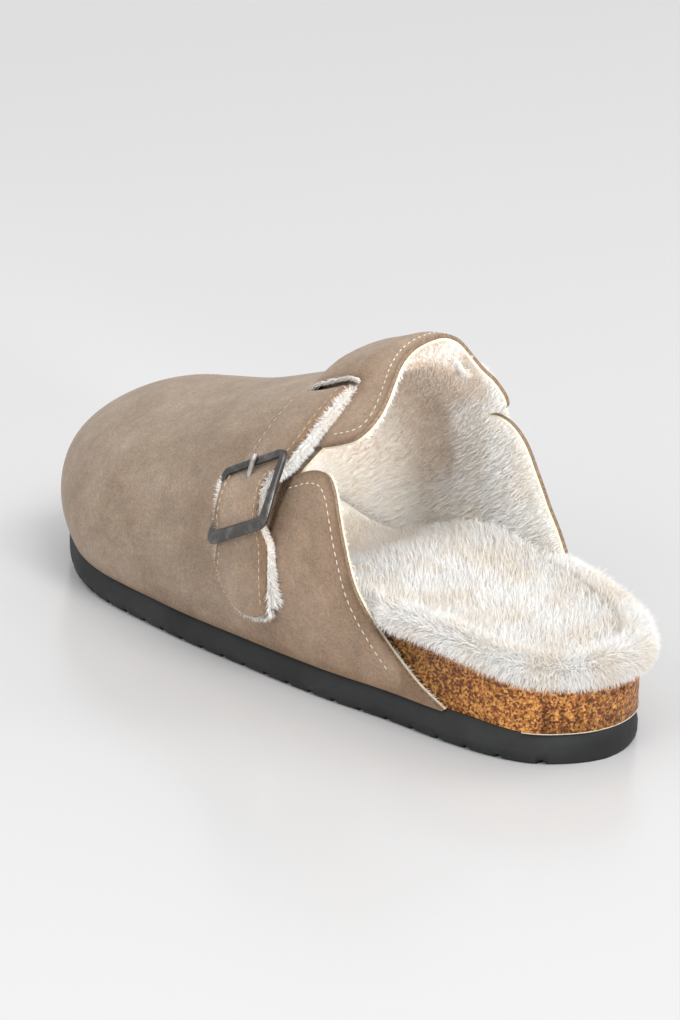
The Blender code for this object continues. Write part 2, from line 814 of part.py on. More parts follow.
def bar_section(centre, tangent, normal, width, height):
    """An eight-sided bar section, its width in the surface and its height off it."""
    tangent = Vector(tangent).normalized()
    across = tangent.cross(Vector(normal)).normalized()
    up = across.cross(tangent).normalized()
    points = []
    for i in range(8):
        angle = 2 * math.pi * (i + 0.5) / 8
        squared = 1 / max(abs(math.cos(angle)), abs(math.sin(angle))) ** 0.6
        spoke = across * math.cos(angle) * width / 2 + up * math.sin(angle) * height / 2
        points.append(Vector(centre) + spoke * squared * 0.95)
    return points


def closed_ring(name, sections):
    """A loop through closed sections, back to the first one."""
    bm = bmesh.new()
    rings = [[bm.verts.new(point) for point in section] for section in sections]
    count = len(rings[0])
    for n, first in enumerate(rings):
        second = rings[(n + 1) % len(rings)]
        for i in range(count):
            j = (i + 1) % count
            bm.faces.new((first[i], first[j], second[j], second[i]))
    return solid_mesh(name, bm)


def buckle_corner(row, across):
    """Centre of the frame at a corner: row -1 top bar, 0 centre bar, 1 bottom bar."""
    reach = BUCKLE_TOP if row < 0 else BUCKLE_BOTTOM
    k = BUCKLE_GIRTH + row * reach + BUCKLE_TILT * across
    height = pin_height() if row == 0 else strap_faces(k)[1] + GAP + BAR / 2
    return Vector(strap_point(k, across, height + BAR_BOW))


def build_buckle(collection, cutters, material):
    edge = 1 + 2 * (BAR / 2 + EDGE_GAP) / (0.077 * LENGTH)
    corners = [
        (buckle_corner(-1, -edge), BAR, BAR),
        (buckle_corner(-1, edge), BAR, BAR),
        (buckle_corner(0, edge), BAR, BAR),
        (buckle_corner(1, edge), BROAD_BAR, BAR),
        (buckle_corner(1, -edge), BROAD_BAR, BAR),
        (buckle_corner(0, -edge), BAR, BAR),
    ]
    normal = Vector(last_normal(0.44, BUCKLE_GIRTH))
    sections = []
    for n, (corner, width, height) in enumerate(corners):
        before = corners[n - 1][0]
        after = corners[(n + 1) % 6][0]
        turn = 0.10
        arrive = (corner - before).normalized()
        leave = (after - corner).normalized()
        for share in (-1, 0, 1):
            heading = arrive if share < 0 else leave if share > 0 else (arrive + leave) / 2
            if share < 0:
                centre = corner + (before - corner) * turn
                size = width + (corners[n - 1][1] - width) * turn
            elif share > 0:
                centre = corner + (after - corner) * turn
                size = width + (corners[(n + 1) % 6][1] - width) * turn
            else:
                centre = corner + ((before - corner) + (after - corner)) * turn * 0.22
                size = width
            sections.append(bar_section(centre, heading, normal, size, height))
    frame = new_object("buckle_frame", closed_ring("buckle_frame", sections), material, collection)
    front = buckle_corner(0, edge)
    rear = buckle_corner(0, -edge)
    bpy.ops.mesh.primitive_cylinder_add(vertices=12, radius=PIN / 2, depth=(front - rear).length)
    pin = bpy.context.object
    pin.name = "buckle_pin"
    pin.location = (front + rear) / 2
    pin.rotation_euler = (front - rear).to_track_quat("Z", "Y").to_euler()
    move_to(pin, cutters)
    add_boolean(frame, pin, "UNION")
    return frame


def move_to(obj, collection):
    for owner in list(obj.users_collection):
        owner.objects.unlink(obj)
    collection.objects.link(obj)


def prong_path():
    """The prong: once round the centre bar, then up through the strap's hole onto the top bar."""
    pin = (buckle_corner(0, 1) + buckle_corner(0, -1)) / 2
    bar = (buckle_corner(-1, 1) + buckle_corner(-1, -1)) / 2
    up = Vector(last_normal(sum(strap_edges(BUCKLE_GIRTH)) / 2, BUCKLE_GIRTH))
    ahead = (bar - pin - up * (bar - pin).dot(up)).normalized()
    loop = PIN / 2 + GAP + PRONG / 2
    points = []
    for i in range(9):
        angle = math.radians(-70 - 200 * i / 8)
        points.append(pin + ahead * loop * math.cos(angle) + up * loop * math.sin(angle))
    rest = bar + up * (BAR / 2 + GAP + PRONG / 2)
    points.append(points[-1].lerp(rest, 0.45) + up * PRONG * 0.6)
    points.append(rest - ahead * BAR / 2)
    points.append(rest + ahead * BAR)
    return points


def tube(name, path, radius, collection, material):
    """A round wire along a path, as a mesh."""
    curve = bpy.data.curves.new(name, "CURVE")
    curve.dimensions = "3D"
    curve.bevel_depth = radius
    curve.bevel_resolution = 2
    curve.use_fill_caps = True
    spline = curve.splines.new("POLY")
    spline.points.add(len(path) - 1)
    for point, place in zip(spline.points, path):
        point.co = (*place, 1)
    holder = bpy.data.objects.new(name, curve)
    collection.objects.link(holder)
    graph = bpy.context.evaluated_depsgraph_get()
    mesh = bpy.data.meshes.new_from_object(holder.evaluated_get(graph))
    bpy.data.objects.remove(holder)
    bm = bmesh.new()
    bm.from_mesh(mesh)
    bmesh.ops.remove_doubles(bm, verts=bm.verts, dist=0.00001)
    bpy.data.meshes.remove(mesh)
    return new_object(name, solid_mesh(name, bm), material, collection)


def build_rivet(collection, material):
    """A domed cap on the medial end of the strap."""
    station = 0.5 * sum(strap_edges(RIVET_GIRTH))
    seat = strap_faces(RIVET_GIRTH)[1] + GAP
    bm = bmesh.new()
    bmesh.ops.create_uvsphere(bm, u_segments=24, v_segments=12, radius=RIVET_DIAMETER / 2)
    below = [vert for vert in bm.verts if vert.co.z < -1e-6]
    bmesh.ops.delete(bm, geom=below, context="VERTS")
    for vert in bm.verts:
        vert.co.z *= RIVET_RISE / (RIVET_DIAMETER / 2)
    rim = [edge for edge in bm.edges if edge.is_boundary]
    bmesh.ops.contextual_create(bm, geom=rim)
    rivet = new_object("rivet_cap", solid_mesh("rivet_cap", bm), material, collection)
    rivet.location = above_last(station, RIVET_GIRTH, seat + 0.0003)
    rivet.rotation_euler = Vector(last_normal(station, RIVET_GIRTH)).to_track_quat("Z", "Y").to_euler()
    return rivet


def build_tab(collection, material):
    """The small square tab in front of the strap on the medial side."""
    half = TAB_HEIGHT / 2 / HALF_GIRTH
    rear = strap_edges(TAB_GIRTH)[1] + 2 * GAP / LENGTH
    front = rear + TAB_LENGTH / LENGTH
    sections = []
    for k in np.linspace(TAB_GIRTH - half, TAB_GIRTH + half, 5):
        sections.append(
            [
                above_last(rear, k, GAP),
                above_last((rear + front) / 2, k, GAP),
                above_last(front, k, GAP),
                above_last(front, k, GAP + TAB_THICKNESS),
                above_last((rear + front) / 2, k, GAP + TAB_THICKNESS),
                above_last(rear, k, GAP + TAB_THICKNESS),
            ]
        )
    return new_object("side_tab", closed_loft("side_tab", sections), material, collection)


def main():
    for obj in list(bpy.data.objects):
        bpy.data.objects.remove(obj)
    parts = bpy.data.collections.new("clog_slipper")
    cutters = bpy.data.collections.new("cutters")
    bpy.context.scene.collection.children.link(parts)
    bpy.context.scene.collection.children.link(cutters)
    metal = new_material("buckle_metal", (0.045, 0.045, 0.048), 0.35, 0.9)
    outsole = build_outsole(parts)
    add_boolean(outsole, build_grooves(cutters), "DIFFERENCE")
    build_cork(parts)
    insole = build_insole(parts)
    add_boolean(insole, build_locks(cutters), "UNION")
    upper = build_upper(parts)
    strap = build_strap(parts, upper.data.materials[0])
    build_buckle(parts, cutters, metal)
    tube("buckle_prong", prong_path(), PRONG / 2, parts, metal)
    hole = tube("prong_hole", prong_path()[8:], PRONG / 2 + GAP, cutters, None)
    add_boolean(strap, hole, "DIFFERENCE")
    build_rivet(parts, new_material("rivet_metal", (0.05, 0.04, 0.035), 0.4, 0.8))
    build_tab(parts, new_material("tab_leather", (0.50, 0.40, 0.28), 0.7))


main()
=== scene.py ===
# %% [markdown]
# # A suede clog with a fleece lining
#
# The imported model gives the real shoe: a rubber outsole, a cork footbed, a suede upper cut from one
# flat pattern, a strap with its buckle, and a sheepskin insole. Its solids are plain and faceted.
# This notebook dresses them. It repeats the maker's own last, the form the upper is pulled over, so
# that every seam, stitch and tuft can be placed by station (0 at the heel, 1 at the toe) and by
# girth (0 on the ridge of the foot, 1 where the upper meets the sole, negative on the inner side).

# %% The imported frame
import math

import bmesh
import bpy
import numpy as np
from mathutils import Matrix, Vector, geometry


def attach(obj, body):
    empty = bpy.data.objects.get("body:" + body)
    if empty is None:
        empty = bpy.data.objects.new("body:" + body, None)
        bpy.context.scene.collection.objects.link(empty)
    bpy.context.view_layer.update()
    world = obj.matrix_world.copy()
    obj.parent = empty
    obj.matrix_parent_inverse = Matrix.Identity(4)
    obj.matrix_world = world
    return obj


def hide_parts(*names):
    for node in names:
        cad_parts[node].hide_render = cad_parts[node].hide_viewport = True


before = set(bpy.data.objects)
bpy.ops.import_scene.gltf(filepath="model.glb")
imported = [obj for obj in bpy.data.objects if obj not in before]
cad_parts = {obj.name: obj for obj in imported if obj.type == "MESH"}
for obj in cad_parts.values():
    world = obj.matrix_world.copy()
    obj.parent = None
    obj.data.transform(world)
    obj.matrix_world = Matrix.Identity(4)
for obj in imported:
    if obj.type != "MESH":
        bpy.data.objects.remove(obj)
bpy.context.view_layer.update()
print("nodes:", ", ".join(sorted(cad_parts)))

# %% [markdown]
# ## The camera
#
# The camera stands where the photograph was taken from: behind the heel, on the outer side, about
# a metre and a quarter away. A long lens keeps the sole's lines nearly parallel, as they are in
# the photograph. The slight roll is the photographer's own tilt. Building the turn from three
# plain rotations keeps each angle readable, where a tracking constraint would hide the roll.

# %% Camera
CAMERA_PLACE = Vector((-0.8039, 0.7357, 0.4395))
CAMERA_AIM = Vector((0.088, 0.003, 0.042))
CAMERA_ROLL = math.radians(2.26)
LENS = 137.0


def make_camera():
    data = bpy.data.cameras.new("camera")
    data.lens = LENS
    data.clip_start = 0.05
    camera = bpy.data.objects.new("camera", data)
    look = (CAMERA_AIM - CAMERA_PLACE).to_track_quat("-Z", "Y").to_matrix().to_4x4()
    camera.matrix_world = Matrix.Translation(CAMERA_PLACE) @ look @ Matrix.Rotation(CAMERA_ROLL, 4, "Z")
    bpy.context.scene.collection.objects.link(camera)
    bpy.context.scene.camera = camera


make_camera()
print("camera to shoe: %.2f m" % (CAMERA_AIM - CAMERA_PLACE).length)

# %% [markdown]
# ## Floor and light
#
# The photograph is a studio shot on glossy white: light comes from every side, and a soft shadow
# falls beyond the toe. A bright world gives the even light. One large lamp high over the heel
# shines down on it and models the upper, and two fill the sides. A soft spot at the collar and a
# tiny lamp in the toe light the lining, which is evenly bright in the photo. The standard view
# transform keeps white paper white, where a filmic one turns it grey.

# %% Floor and light
FLOOR_COLOUR = (0.72, 0.72, 0.725, 1)
FLOOR_GLOSS = 0.22
WORLD_LIGHT = 0.80
SOFT_LAMPS = (
    # name, place, aim, size, power
    ("heel_lamp", (-0.95, 0.15, 1.45), (0.06, 0, 0.03), 0.9, 9),
    ("outer_lamp", (-0.25, 1.25, 0.80), (0.08, 0, 0.03), 0.8, 4.5),
    ("inner_lamp", (-0.35, -1.15, 1.15), (0.05, 0, 0.04), 0.8, 4),
)


def make_floor():
    bpy.ops.mesh.primitive_plane_add(size=12)
    floor = bpy.context.object
    floor.name = "floor"
    material = bpy.data.materials.new("floor_board")
    material.use_nodes = True
    shader = material.node_tree.nodes["Principled BSDF"]
    shader.inputs["Base Color"].default_value = FLOOR_COLOUR
    shader.inputs["Roughness"].default_value = FLOOR_GLOSS
    floor.data.materials.append(material)


def make_world():
    world = bpy.data.worlds.new("studio")
    world.use_nodes = True
    background = world.node_tree.nodes["Background"]
    background.inputs["Color"].default_value = (1, 1, 1, 1)
    background.inputs["Strength"].default_value = WORLD_LIGHT
    bpy.context.scene.world = world
    bpy.context.scene.view_settings.view_transform = "Standard"


def hang_lamp(name, kind, place, aim, power):
    """A lamp of a kind, hung at a place and turned to its aim."""
    data = bpy.data.lights.new(name, kind)
    data.energy = power
    lamp = bpy.data.objects.new(name, data)
    lamp.location = place
    lamp.rotation_euler = (Vector(aim) - Vector(place)).to_track_quat("-Z", "Y").to_euler()
    bpy.context.scene.collection.objects.link(lamp)
    return lamp


def light_studio():
    for name, place, aim, size, power in SOFT_LAMPS:
        soft = hang_lamp(name, "AREA", place, aim, power)
        soft.data.shape = "DISK"
        soft.data.size = size
    spot = hang_lamp("collar_lamp", "SPOT", (-0.42, 0.05, 0.19), (0.16, -0.005, 0.06), 9)
    spot.data.spot_size = math.radians(22)
    spot.data.spot_blend = 1.0
    spot.data.shadow_soft_size = 0.05
    glow = hang_lamp("toe_lamp", "POINT", (0.150, 0.0, 0.053), (0.150, 0.0, 0.0), 0.035)
    glow.data.shadow_soft_size = 0.016
    glow.visible_camera = False
    glow.visible_glossy = False
    print("lamps:", len(bpy.data.lights))


make_floor()
make_world()
light_studio()

# %% [markdown]
# ## The last
#
# A shoemaker's last can be described by a few sections. Each row of LAST holds one section: how
# high its ridge is, how far the ridge lies towards the inner side, and how full each side's arch
# is. Smooth curves run through the rows, so any point of the foot's form follows from a station
# and a girth. In front of the pole the sections fan out round the toe. The functions take whole
# arrays of stations and girths at once, which makes a mesh of many thousand points quick.

# %% The shoe's own sizes
LENGTH = 0.255
BALL_WIDTH = 0.095
HEEL_WIDTH = 0.067
HEEL_REST = 0.036
INSTEP_HEIGHT = 0.104
TOE_SPRING = 0.009
OUTSOLE_THICKNESS = 0.0095
CORK_RIM = 0.0195
CORK_DISH = 0.0065
SUEDE = 0.0022
BRIDGE_LIFT = 0.0075
GAP = 0.0003
EDGE_GAP = 0.0012
STRAP_THICKNESS = 0.0046
STRAP_BRIDGED = 0.0022
STRAP_SUEDE = 0.0024
BAR = 0.0020
PIN = 0.0016
BAR_BOW = 0.0007
PRONG = 0.0012
PILE = 0.0085
PILE_OVERHANG = 0.0032
WAIST = (0.20, 0.62)
POLE = 0.800
HALF_GIRTH = 0.082

OUTLINE = np.array((
    # station, lateral, medial
    (0.000, 0.000, 0.000), (0.012, 0.194, 0.194), (0.031, 0.306, 0.300), (0.071, 0.405, 0.415),
    (0.137, 0.478, 0.485), (0.216, 0.524, 0.506), (0.314, 0.560, 0.480), (0.392, 0.545, 0.432),
    (0.471, 0.520, 0.402), (0.549, 0.508, 0.405), (0.627, 0.504, 0.440), (0.686, 0.506, 0.476),
    (0.745, 0.500, 0.496), (0.804, 0.470, 0.492), (0.863, 0.400, 0.456), (0.922, 0.295, 0.385),
    (0.961, 0.195, 0.320), (0.988, 0.070, 0.225), (1.000, -0.078, 0.078),
))
LAST = np.array((
    # station, ridge height, ridge offset, lateral and medial shoulder, wall, lateral and medial bulge
    (0.000, 1.050, -0.040, 0.50, 0.80, 0.76, 0.28, 0.30),
    (0.250, 1.040, -0.070, 0.48, 0.80, 0.75, 0.32, 0.34),
    (0.345, 0.985, -0.100, 0.46, 0.80, 0.74, 0.34, 0.40),
    (0.425, 0.905, -0.105, 0.47, 0.78, 0.72, 0.31, 0.38),
    (0.520, 0.822, -0.095, 0.50, 0.74, 0.70, 0.25, 0.34),
    (0.600, 0.748, -0.080, 0.54, 0.70, 0.67, 0.21, 0.27),
    (0.690, 0.674, -0.060, 0.52, 0.60, 0.60, 0.24, 0.22),
    (0.800, 0.615, -0.045, 0.45, 0.50, 0.50, 0.33, 0.26),
))

# %% Smooth curves through a few rows


def smooth(x, knots, values):
    """A smooth curve through the knots: cubic pieces whose slopes come from both neighbours."""
    knots = np.asarray(knots, float)
    values = np.asarray(values, float)
    steps = np.diff(knots)
    rises = np.diff(values) / steps
    slopes = np.empty(len(knots))
    slopes[1:-1] = (rises[:-1] * steps[1:] + rises[1:] * steps[:-1]) / (steps[:-1] + steps[1:])
    slopes[0] = rises[0]
    slopes[-1] = rises[-1]
    x = np.clip(np.asarray(x, float), knots[0], knots[-1])
    i = np.clip(np.searchsorted(knots, x, side="right") - 1, 0, len(steps) - 1)
    t = (x - knots[i]) / steps[i]
    start = (1 + 2 * t) * (1 - t) ** 2 * values[i] + t * (1 - t) ** 2 * steps[i] * slopes[i]
    return start + t * t * (3 - 2 * t) * values[i + 1] + t * t * (t - 1) * steps[i] * slopes[i + 1]


def ease(t):
    t = np.clip(t, 0, 1)
    return t * t * (3 - 2 * t)


def round_station(u):
    return np.arccos(1 - 2 * np.clip(u, 0, 1))


def local_width(u):
    return HEEL_WIDTH + (BALL_WIDTH - HEEL_WIDTH) * ease((u - WAIST[0]) / (WAIST[1] - WAIST[0]))


def sides(u):
    """Lateral and medial edge of the sole at a station, as y values."""
    knots = round_station(OUTLINE[:, 0])
    width = local_width(u)
    lateral = smooth(round_station(u), knots, OUTLINE[:, 1]) * width
    medial = -smooth(round_station(u), knots, OUTLINE[:, 2]) * width
    return lateral, medial


def sole_top(u):
    return TOE_SPRING * np.clip((u - 0.725) / 0.275, 0, 1) ** 2 + OUTSOLE_THICKNESS


def from_heel(u):
    return np.asarray(u, float) * LENGTH - HEEL_REST


def last_row(u):
    """Ridge height and offset, both shoulders, wall and both bulges at a station."""
    height, offset, *fullness = (smooth(u, LAST[:, 0], column) for column in LAST[:, 1:].T)
    return height * INSTEP_HEIGHT, offset * local_width(u), *fullness


# %% The form of the foot


def toe_reach():
    """Angle and distance of the outline from the toe's pole."""
    u = POLE + (1 - POLE) * np.sin(np.linspace(0, math.pi / 2, 60))
    lateral, medial = sides(u)
    x = np.concatenate([from_heel(u), from_heel(u[-2::-1])]) - from_heel(POLE)
    y = np.concatenate([lateral, medial[-2::-1]]) - last_row(POLE)[1]
    angle = np.arctan2(y, x)
    order = np.argsort(angle)
    return angle[order], np.hypot(x, y)[order]


TOE_ANGLES, TOE_REACHES = toe_reach()


def arch(k, top, side, base, bulge, reach, height, tilt):
    """One half section of the last: how far out and how high, k from the ridge to the sole."""
    out = 3 * (1 - k) ** 2 * k * top * reach + 3 * (1 - k) * k * k * (1 + bulge) * reach + k**3 * reach
    up = (1 - k) ** 3 * height + 3 * (1 - k) ** 2 * k * (height + tilt * top * reach)
    up = up + 3 * (1 - k) * k * k * (base + side * (height - base)) + k**3 * base
    return out, up


def body_last(u, k):
    height, offset, lateral_top, medial_top, side, lateral_bulge, medial_bulge = last_row(u)
    lateral, medial = sides(u)
    base = sole_top(u) + GAP
    outer = arch(np.abs(k), lateral_top, side, base, lateral_bulge, lateral - offset, height, 0)
    inner = arch(np.abs(k), medial_top, side, base, medial_bulge, offset - medial, height, 0)
    out = np.where(k >= 0, outer[0], -inner[0])
    return np.stack([from_heel(u), offset + out, np.where(k >= 0, outer[1], inner[1])], -1)


def toe_last(angle, k):
    height, offset, lateral_top, medial_top, side, lateral_bulge, medial_bulge = last_row(POLE)
    slope = (last_row(POLE)[0] - last_row(POLE - 0.01)[0]) / (0.01 * LENGTH)
    reach = np.interp(angle, TOE_ANGLES, TOE_REACHES)
    u = POLE + np.maximum(0.0, reach * np.cos(angle)) / LENGTH
    turned = 0.5 + 0.5 * np.sin(angle)
    top = medial_top + (lateral_top - medial_top) * turned
    bulge = medial_bulge + (lateral_bulge - medial_bulge) * turned
    out, up = arch(k, top, side, sole_top(u) + GAP, bulge, reach, height, slope * np.cos(angle))
    return np.stack([from_heel(POLE) + out * np.cos(angle), offset + out * np.sin(angle), up], -1)


def last_point(p, q):
    """The last's points for places on the flat pattern: p along, q across."""
    p, q = np.broadcast_arrays(np.asarray(p, float), np.asarray(q, float))
    ahead = np.maximum(p - POLE, 0) / (1 - POLE)
    fan = toe_last(np.arctan2(q, ahead), np.minimum(1.0, np.hypot(q, ahead)))
    return np.where((p <= POLE)[..., None], body_last(np.minimum(p, POLE), q), fan)


def last_normal(p, q):
    step = 0.004
    along = last_point(p + step, q) - last_point(p - step, q)
    across = last_point(p, q + step) - last_point(p, q - step)
    normal = np.cross(along, across)
    return normal / np.linalg.norm(normal, axis=-1, keepdims=True)


def above_last(u, k, offset):
    return last_point(u, k) + last_normal(u, k) * np.asarray(offset)[..., None]


print("instep height on the last: %.1f mm" % (last_point(0.31, 0.0)[2] * 1000))

# %% [markdown]
# ## The pattern's cut lines
#
# A clog's upper is cut flat from one hide and pulled over the last. Its edge runs round the sole,
# up the quarter at each side of the heel, down and round the slot that lets the strap through,
# and over the instep as a curved flap. Every row is a station and a girth.

# %% Cut lines
QUARTER_EDGE = {
    "lateral": (
        (0.145, 1.000), (0.185, 0.974), (0.221, 0.937), (0.249, 0.897), (0.274, 0.843), (0.294, 0.765),
        (0.309, 0.705), (0.325, 0.650), (0.345, 0.612), (0.370, 0.602), (0.398, 0.612),
    ),
    "medial": (
        (0.150, 1.000), (0.195, 0.940), (0.230, 0.870), (0.255, 0.818), (0.276, 0.776), (0.300, 0.708),
        (0.320, 0.635), (0.343, 0.578), (0.366, 0.546), (0.388, 0.538), (0.404, 0.556),
    ),
}
SLIT_END = {"lateral": (0.412, 0.760), "medial": (0.414, 0.690)}
SLIT_WIDTH = 0.0026
FLAP_EDGE = (
    (0.378, 0.530), (0.348, 0.526), (0.324, 0.507), (0.313, 0.455), (0.316, 0.389), (0.330, 0.315),
    (0.350, 0.230), (0.366, 0.130), (0.375, 0.000), (0.383, -0.130), (0.383, -0.240), (0.371, -0.335),
    (0.354, -0.405), (0.344, -0.480), (0.346, -0.520), (0.364, -0.530),
)
BRIDGE_HALF = 0.310
BRIDGE_FRONT = 0.513
SLOT_END = 0.445
STRAP_EDGES = np.array((
    # girth, station of the rear edge, station of the front edge
    (-0.86, 0.362, 0.464), (-0.60, 0.372, 0.472), (-0.40, 0.382, 0.475), (-0.20, 0.393, 0.472),
    (0.00, 0.395, 0.471), (0.20, 0.392, 0.472), (0.40, 0.386, 0.473), (0.52, 0.392, 0.474),
    (0.60, 0.406, 0.478), (0.74, 0.400, 0.478), (0.82, 0.396, 0.482), (0.95, 0.391, 0.482),
))
STRAP_MEDIAL_END = -0.74
STRAP_TAIL_END = 0.928
BUCKLE_GIRTH = 0.690
EDGE_STEPS = 8


def smooth_path(rows, count):
    """Points on the smooth curve through a few rows, evenly along its spans."""
    rows = np.array(rows, float)
    at = np.linspace(0, len(rows) - 1, count)
    return np.stack([smooth(at, np.arange(len(rows)), column) for column in rows.T], -1)


def cut_line(rows, sign=1):
    """A cut line from its few rows of station and girth; sign -1 lays it on the inner side."""
    path = smooth_path(rows, EDGE_STEPS * (len(rows) - 1) + 1)
    return [(station, sign * girth) for station, girth in path.tolist()]


def strap_edges(k):
    """Rear and front edge of the strap at a girth, as stations."""
    return smooth(k, STRAP_EDGES[:, 0], STRAP_EDGES[:, 1]), smooth(k, STRAP_EDGES[:, 0], STRAP_EDGES[:, 2])


def bridge_lift(p, q):
    """How far the upper stands off the last where its bridge and flap rise over the strap."""
    along = ease((BRIDGE_FRONT - p) / 0.052) * (0.30 + 0.70 * ease((p - 0.335) / 0.075))
    return BRIDGE_LIFT * along * (1 - ease((np.abs(q) - 0.20) / 0.26))


# %% [markdown]
# Worn suede isn't as smooth as its last. Where the strap pulls it down the vamp is drawn into a
# soft hollow, and the quarters slump a little. The main creases are listed one by one, each as a soft
# trough with its own place and reach, because noise alone would put them anywhere.

# %% Soft hollows and the outer face
CREASES = (
    # station, girth, reach along, reach across, depth
    (0.515, 0.44, 0.022, 0.13, 0.0011),
    (0.545, 0.20, 0.030, 0.20, 0.0008),
    (0.520, -0.42, 0.024, 0.15, 0.0010),
    (0.600, 0.62, 0.060, 0.10, 0.0005),
    (0.355, 0.78, 0.022, 0.10, 0.0006),
    (0.335, -0.74, 0.022, 0.10, 0.0006),
    (0.660, -0.30, 0.050, 0.14, -0.0004),
    (0.760, 0.35, 0.060, 0.20, -0.0004),
)


def crease_depth(p, q):
    """How deep the hollows lie under the last's surface, all added up."""
    depth = np.zeros(np.broadcast(p, q).shape)
    for station, girth, along, across, deep in CREASES:
        depth = depth + deep * np.exp(-(((p - station) / along) ** 2) - ((q - girth) / across) ** 2)
    return depth


def upper_point(p, q, inward=0.0, lift=bridge_lift):
    """A point on the upper's outer face, or that far under it."""
    place = last_point(p, q) - last_normal(p, q) * (crease_depth(p, q) + inward)[..., None]
    place[..., 2] += lift(p, q)
    return place


# %% [markdown]
# ## Finishes
#
# Each finish reads object coordinates, so a grain keeps its size on every piece. Suede is a short
# nap: no gloss, a little sheen, fine speckle, and broad soft patches where the nap lies another
# way. Cork is cells of ground bark with a sealed surface. Fleece takes its colour from each hair:
# darker at the root, cream at the tip.

# %% Helpers for finishes


def start_material(name, colour, roughness, metallic=0.0):
    material = bpy.data.materials.new(name)
    material.use_nodes = True
    shader = material.node_tree.nodes["Principled BSDF"]
    shader.inputs["Base Color"].default_value = (*colour, 1)
    shader.inputs["Roughness"].default_value = roughness
    shader.inputs["Metallic"].default_value = metallic
    return material, material.node_tree, shader


def feed(tree, socket, value):
    """Gives an input its value: a link from another node, or a plain value."""
    if isinstance(value, bpy.types.NodeSocket):
        tree.links.new(value, socket)
    else:
        socket.default_value = value


def new_node(tree, kind, **settings):
    node = tree.nodes.new(kind)
    for key, value in settings.items():
        setattr(node, key, value)
    return node


def object_point(tree):
    return new_node(tree, "ShaderNodeTexCoord").outputs["Object"]


def attribute_value(tree, name):
    return new_node(tree, "ShaderNodeAttribute", attribute_name=name).outputs["Fac"]


def noise_value(tree, point, scale, detail=3.0, roughness=0.55):
    node = new_node(tree, "ShaderNodeTexNoise")
    node.inputs["Scale"].default_value = scale
    node.inputs["Detail"].default_value = detail
    node.inputs["Roughness"].default_value = roughness
    feed(tree, node.inputs["Vector"], point)
    return node.outputs["Fac"]


def maths(tree, operation, first, second):
    node = new_node(tree, "ShaderNodeMath", operation=operation)
    feed(tree, node.inputs[0], first)
    feed(tree, node.inputs[1], second)
    return node.outputs[0]


def forward_value(tree, point):
    """How far forward a point lies, in metres."""
    parts = new_node(tree, "ShaderNodeSeparateXYZ")
    feed(tree, parts.inputs[0], point)
    return parts.outputs[0]


def ramp(tree, value, *stops):
    node = new_node(tree, "ShaderNodeValToRGB")
    while len(node.color_ramp.elements) < len(stops):
        node.color_ramp.elements.new(0.5)
    for element, (at, colour) in zip(node.color_ramp.elements, stops):
        element.position = at
        element.color = (*colour, 1)
    feed(tree, node.inputs["Fac"], value)
    return node.outputs["Color"]


def mix_colour(tree, factor, first, second, blend="MIX"):
    node = new_node(tree, "ShaderNodeMix", data_type="RGBA", blend_type=blend)
    for socket, value in ((node.inputs[0], factor), (node.inputs[6], first), (node.inputs[7], second)):
        feed(tree, socket, value)
    return node.outputs[2]


def tinted(tree, colour, *tints):
    """A colour multiplied by each tint in turn."""
    for tint in tints:
        colour = mix_colour(tree, 1.0, colour, tint, "MULTIPLY")
    return colour


def add_bump(tree, shader, height, strength, distance, under=None):
    node = new_node(tree, "ShaderNodeBump")
    node.inputs["Strength"].default_value = strength
    node.inputs["Distance"].default_value = distance
    feed(tree, node.inputs["Height"], height)
    if under:
        feed(tree, node.inputs["Normal"], under)
    feed(tree, shader.inputs["Normal"], node.outputs["Normal"])
    return node.outputs["Normal"]


# %% Suede
SUEDE_DARK = (0.275, 0.205, 0.150)
SUEDE_MID = (0.340, 0.262, 0.198)
SUEDE_PALE = (0.400, 0.318, 0.250)
EDGE_SHADE_REACH = 1 / 220
WARM_REACH = 0.125
PLAIN_WHITE = (1.0, 1.0, 1.0)


def make_suede():
    """Broad patches of nap, mottle and speckle, with painted shade darkening each cut edge, and warmer
    towards the heel.
    """
    material, tree, shader = start_material("suede", SUEDE_MID, 0.95)
    point = object_point(tree)
    patches = noise_value(tree, point, 42, 3)
    patches = ramp(tree, patches, (0.30, SUEDE_DARK), (0.50, SUEDE_MID), (0.72, SUEDE_PALE))
    mottle = noise_value(tree, point, 260, 2)
    mottle = ramp(tree, mottle, (0.3, (0.90, 0.90, 0.92)), (0.7, (1.09, 1.06, 1.02)))
    grain = noise_value(tree, point, 1300, 3, 0.7)
    speckle = ramp(tree, grain, (0.30, (0.76, 0.74, 0.72)), (0.70, (1.18, 1.18, 1.18)))
    # painted shade: the suede is darkened over the last few millimetres before each cut edge, most in the
    # first one
    edge = maths(tree, "DIVIDE", attribute_value(tree, "edge"), EDGE_SHADE_REACH)
    edge_shade = ramp(tree, edge, (0.0, (0.66, 0.59, 0.52)), (0.30, (0.92, 0.89, 0.86)), (1.0, PLAIN_WHITE))
    forward = maths(tree, "DIVIDE", forward_value(tree, point), WARM_REACH)
    warmth = ramp(tree, forward, (0.40, (1.06, 1.0, 0.955)), (0.85, PLAIN_WHITE))
    feed(tree, shader.inputs["Base Color"], tinted(tree, patches, mottle, speckle, edge_shade, warmth))
    shader.inputs["Sheen Weight"].default_value = 0.30
    shader.inputs["Sheen Roughness"].default_value = 0.45
    shader.inputs["Sheen Tint"].default_value = (0.95, 0.88, 0.80, 1)
    shader.inputs["Specular IOR Level"].default_value = 0.15
    nap = add_bump(tree, shader, noise_value(tree, point, 1100, 3), 0.5, 0.0004)
    add_bump(tree, shader, noise_value(tree, point, 110, 3), 0.3, 0.0009, nap)
    return material


# %% Cut edge, thread and backing


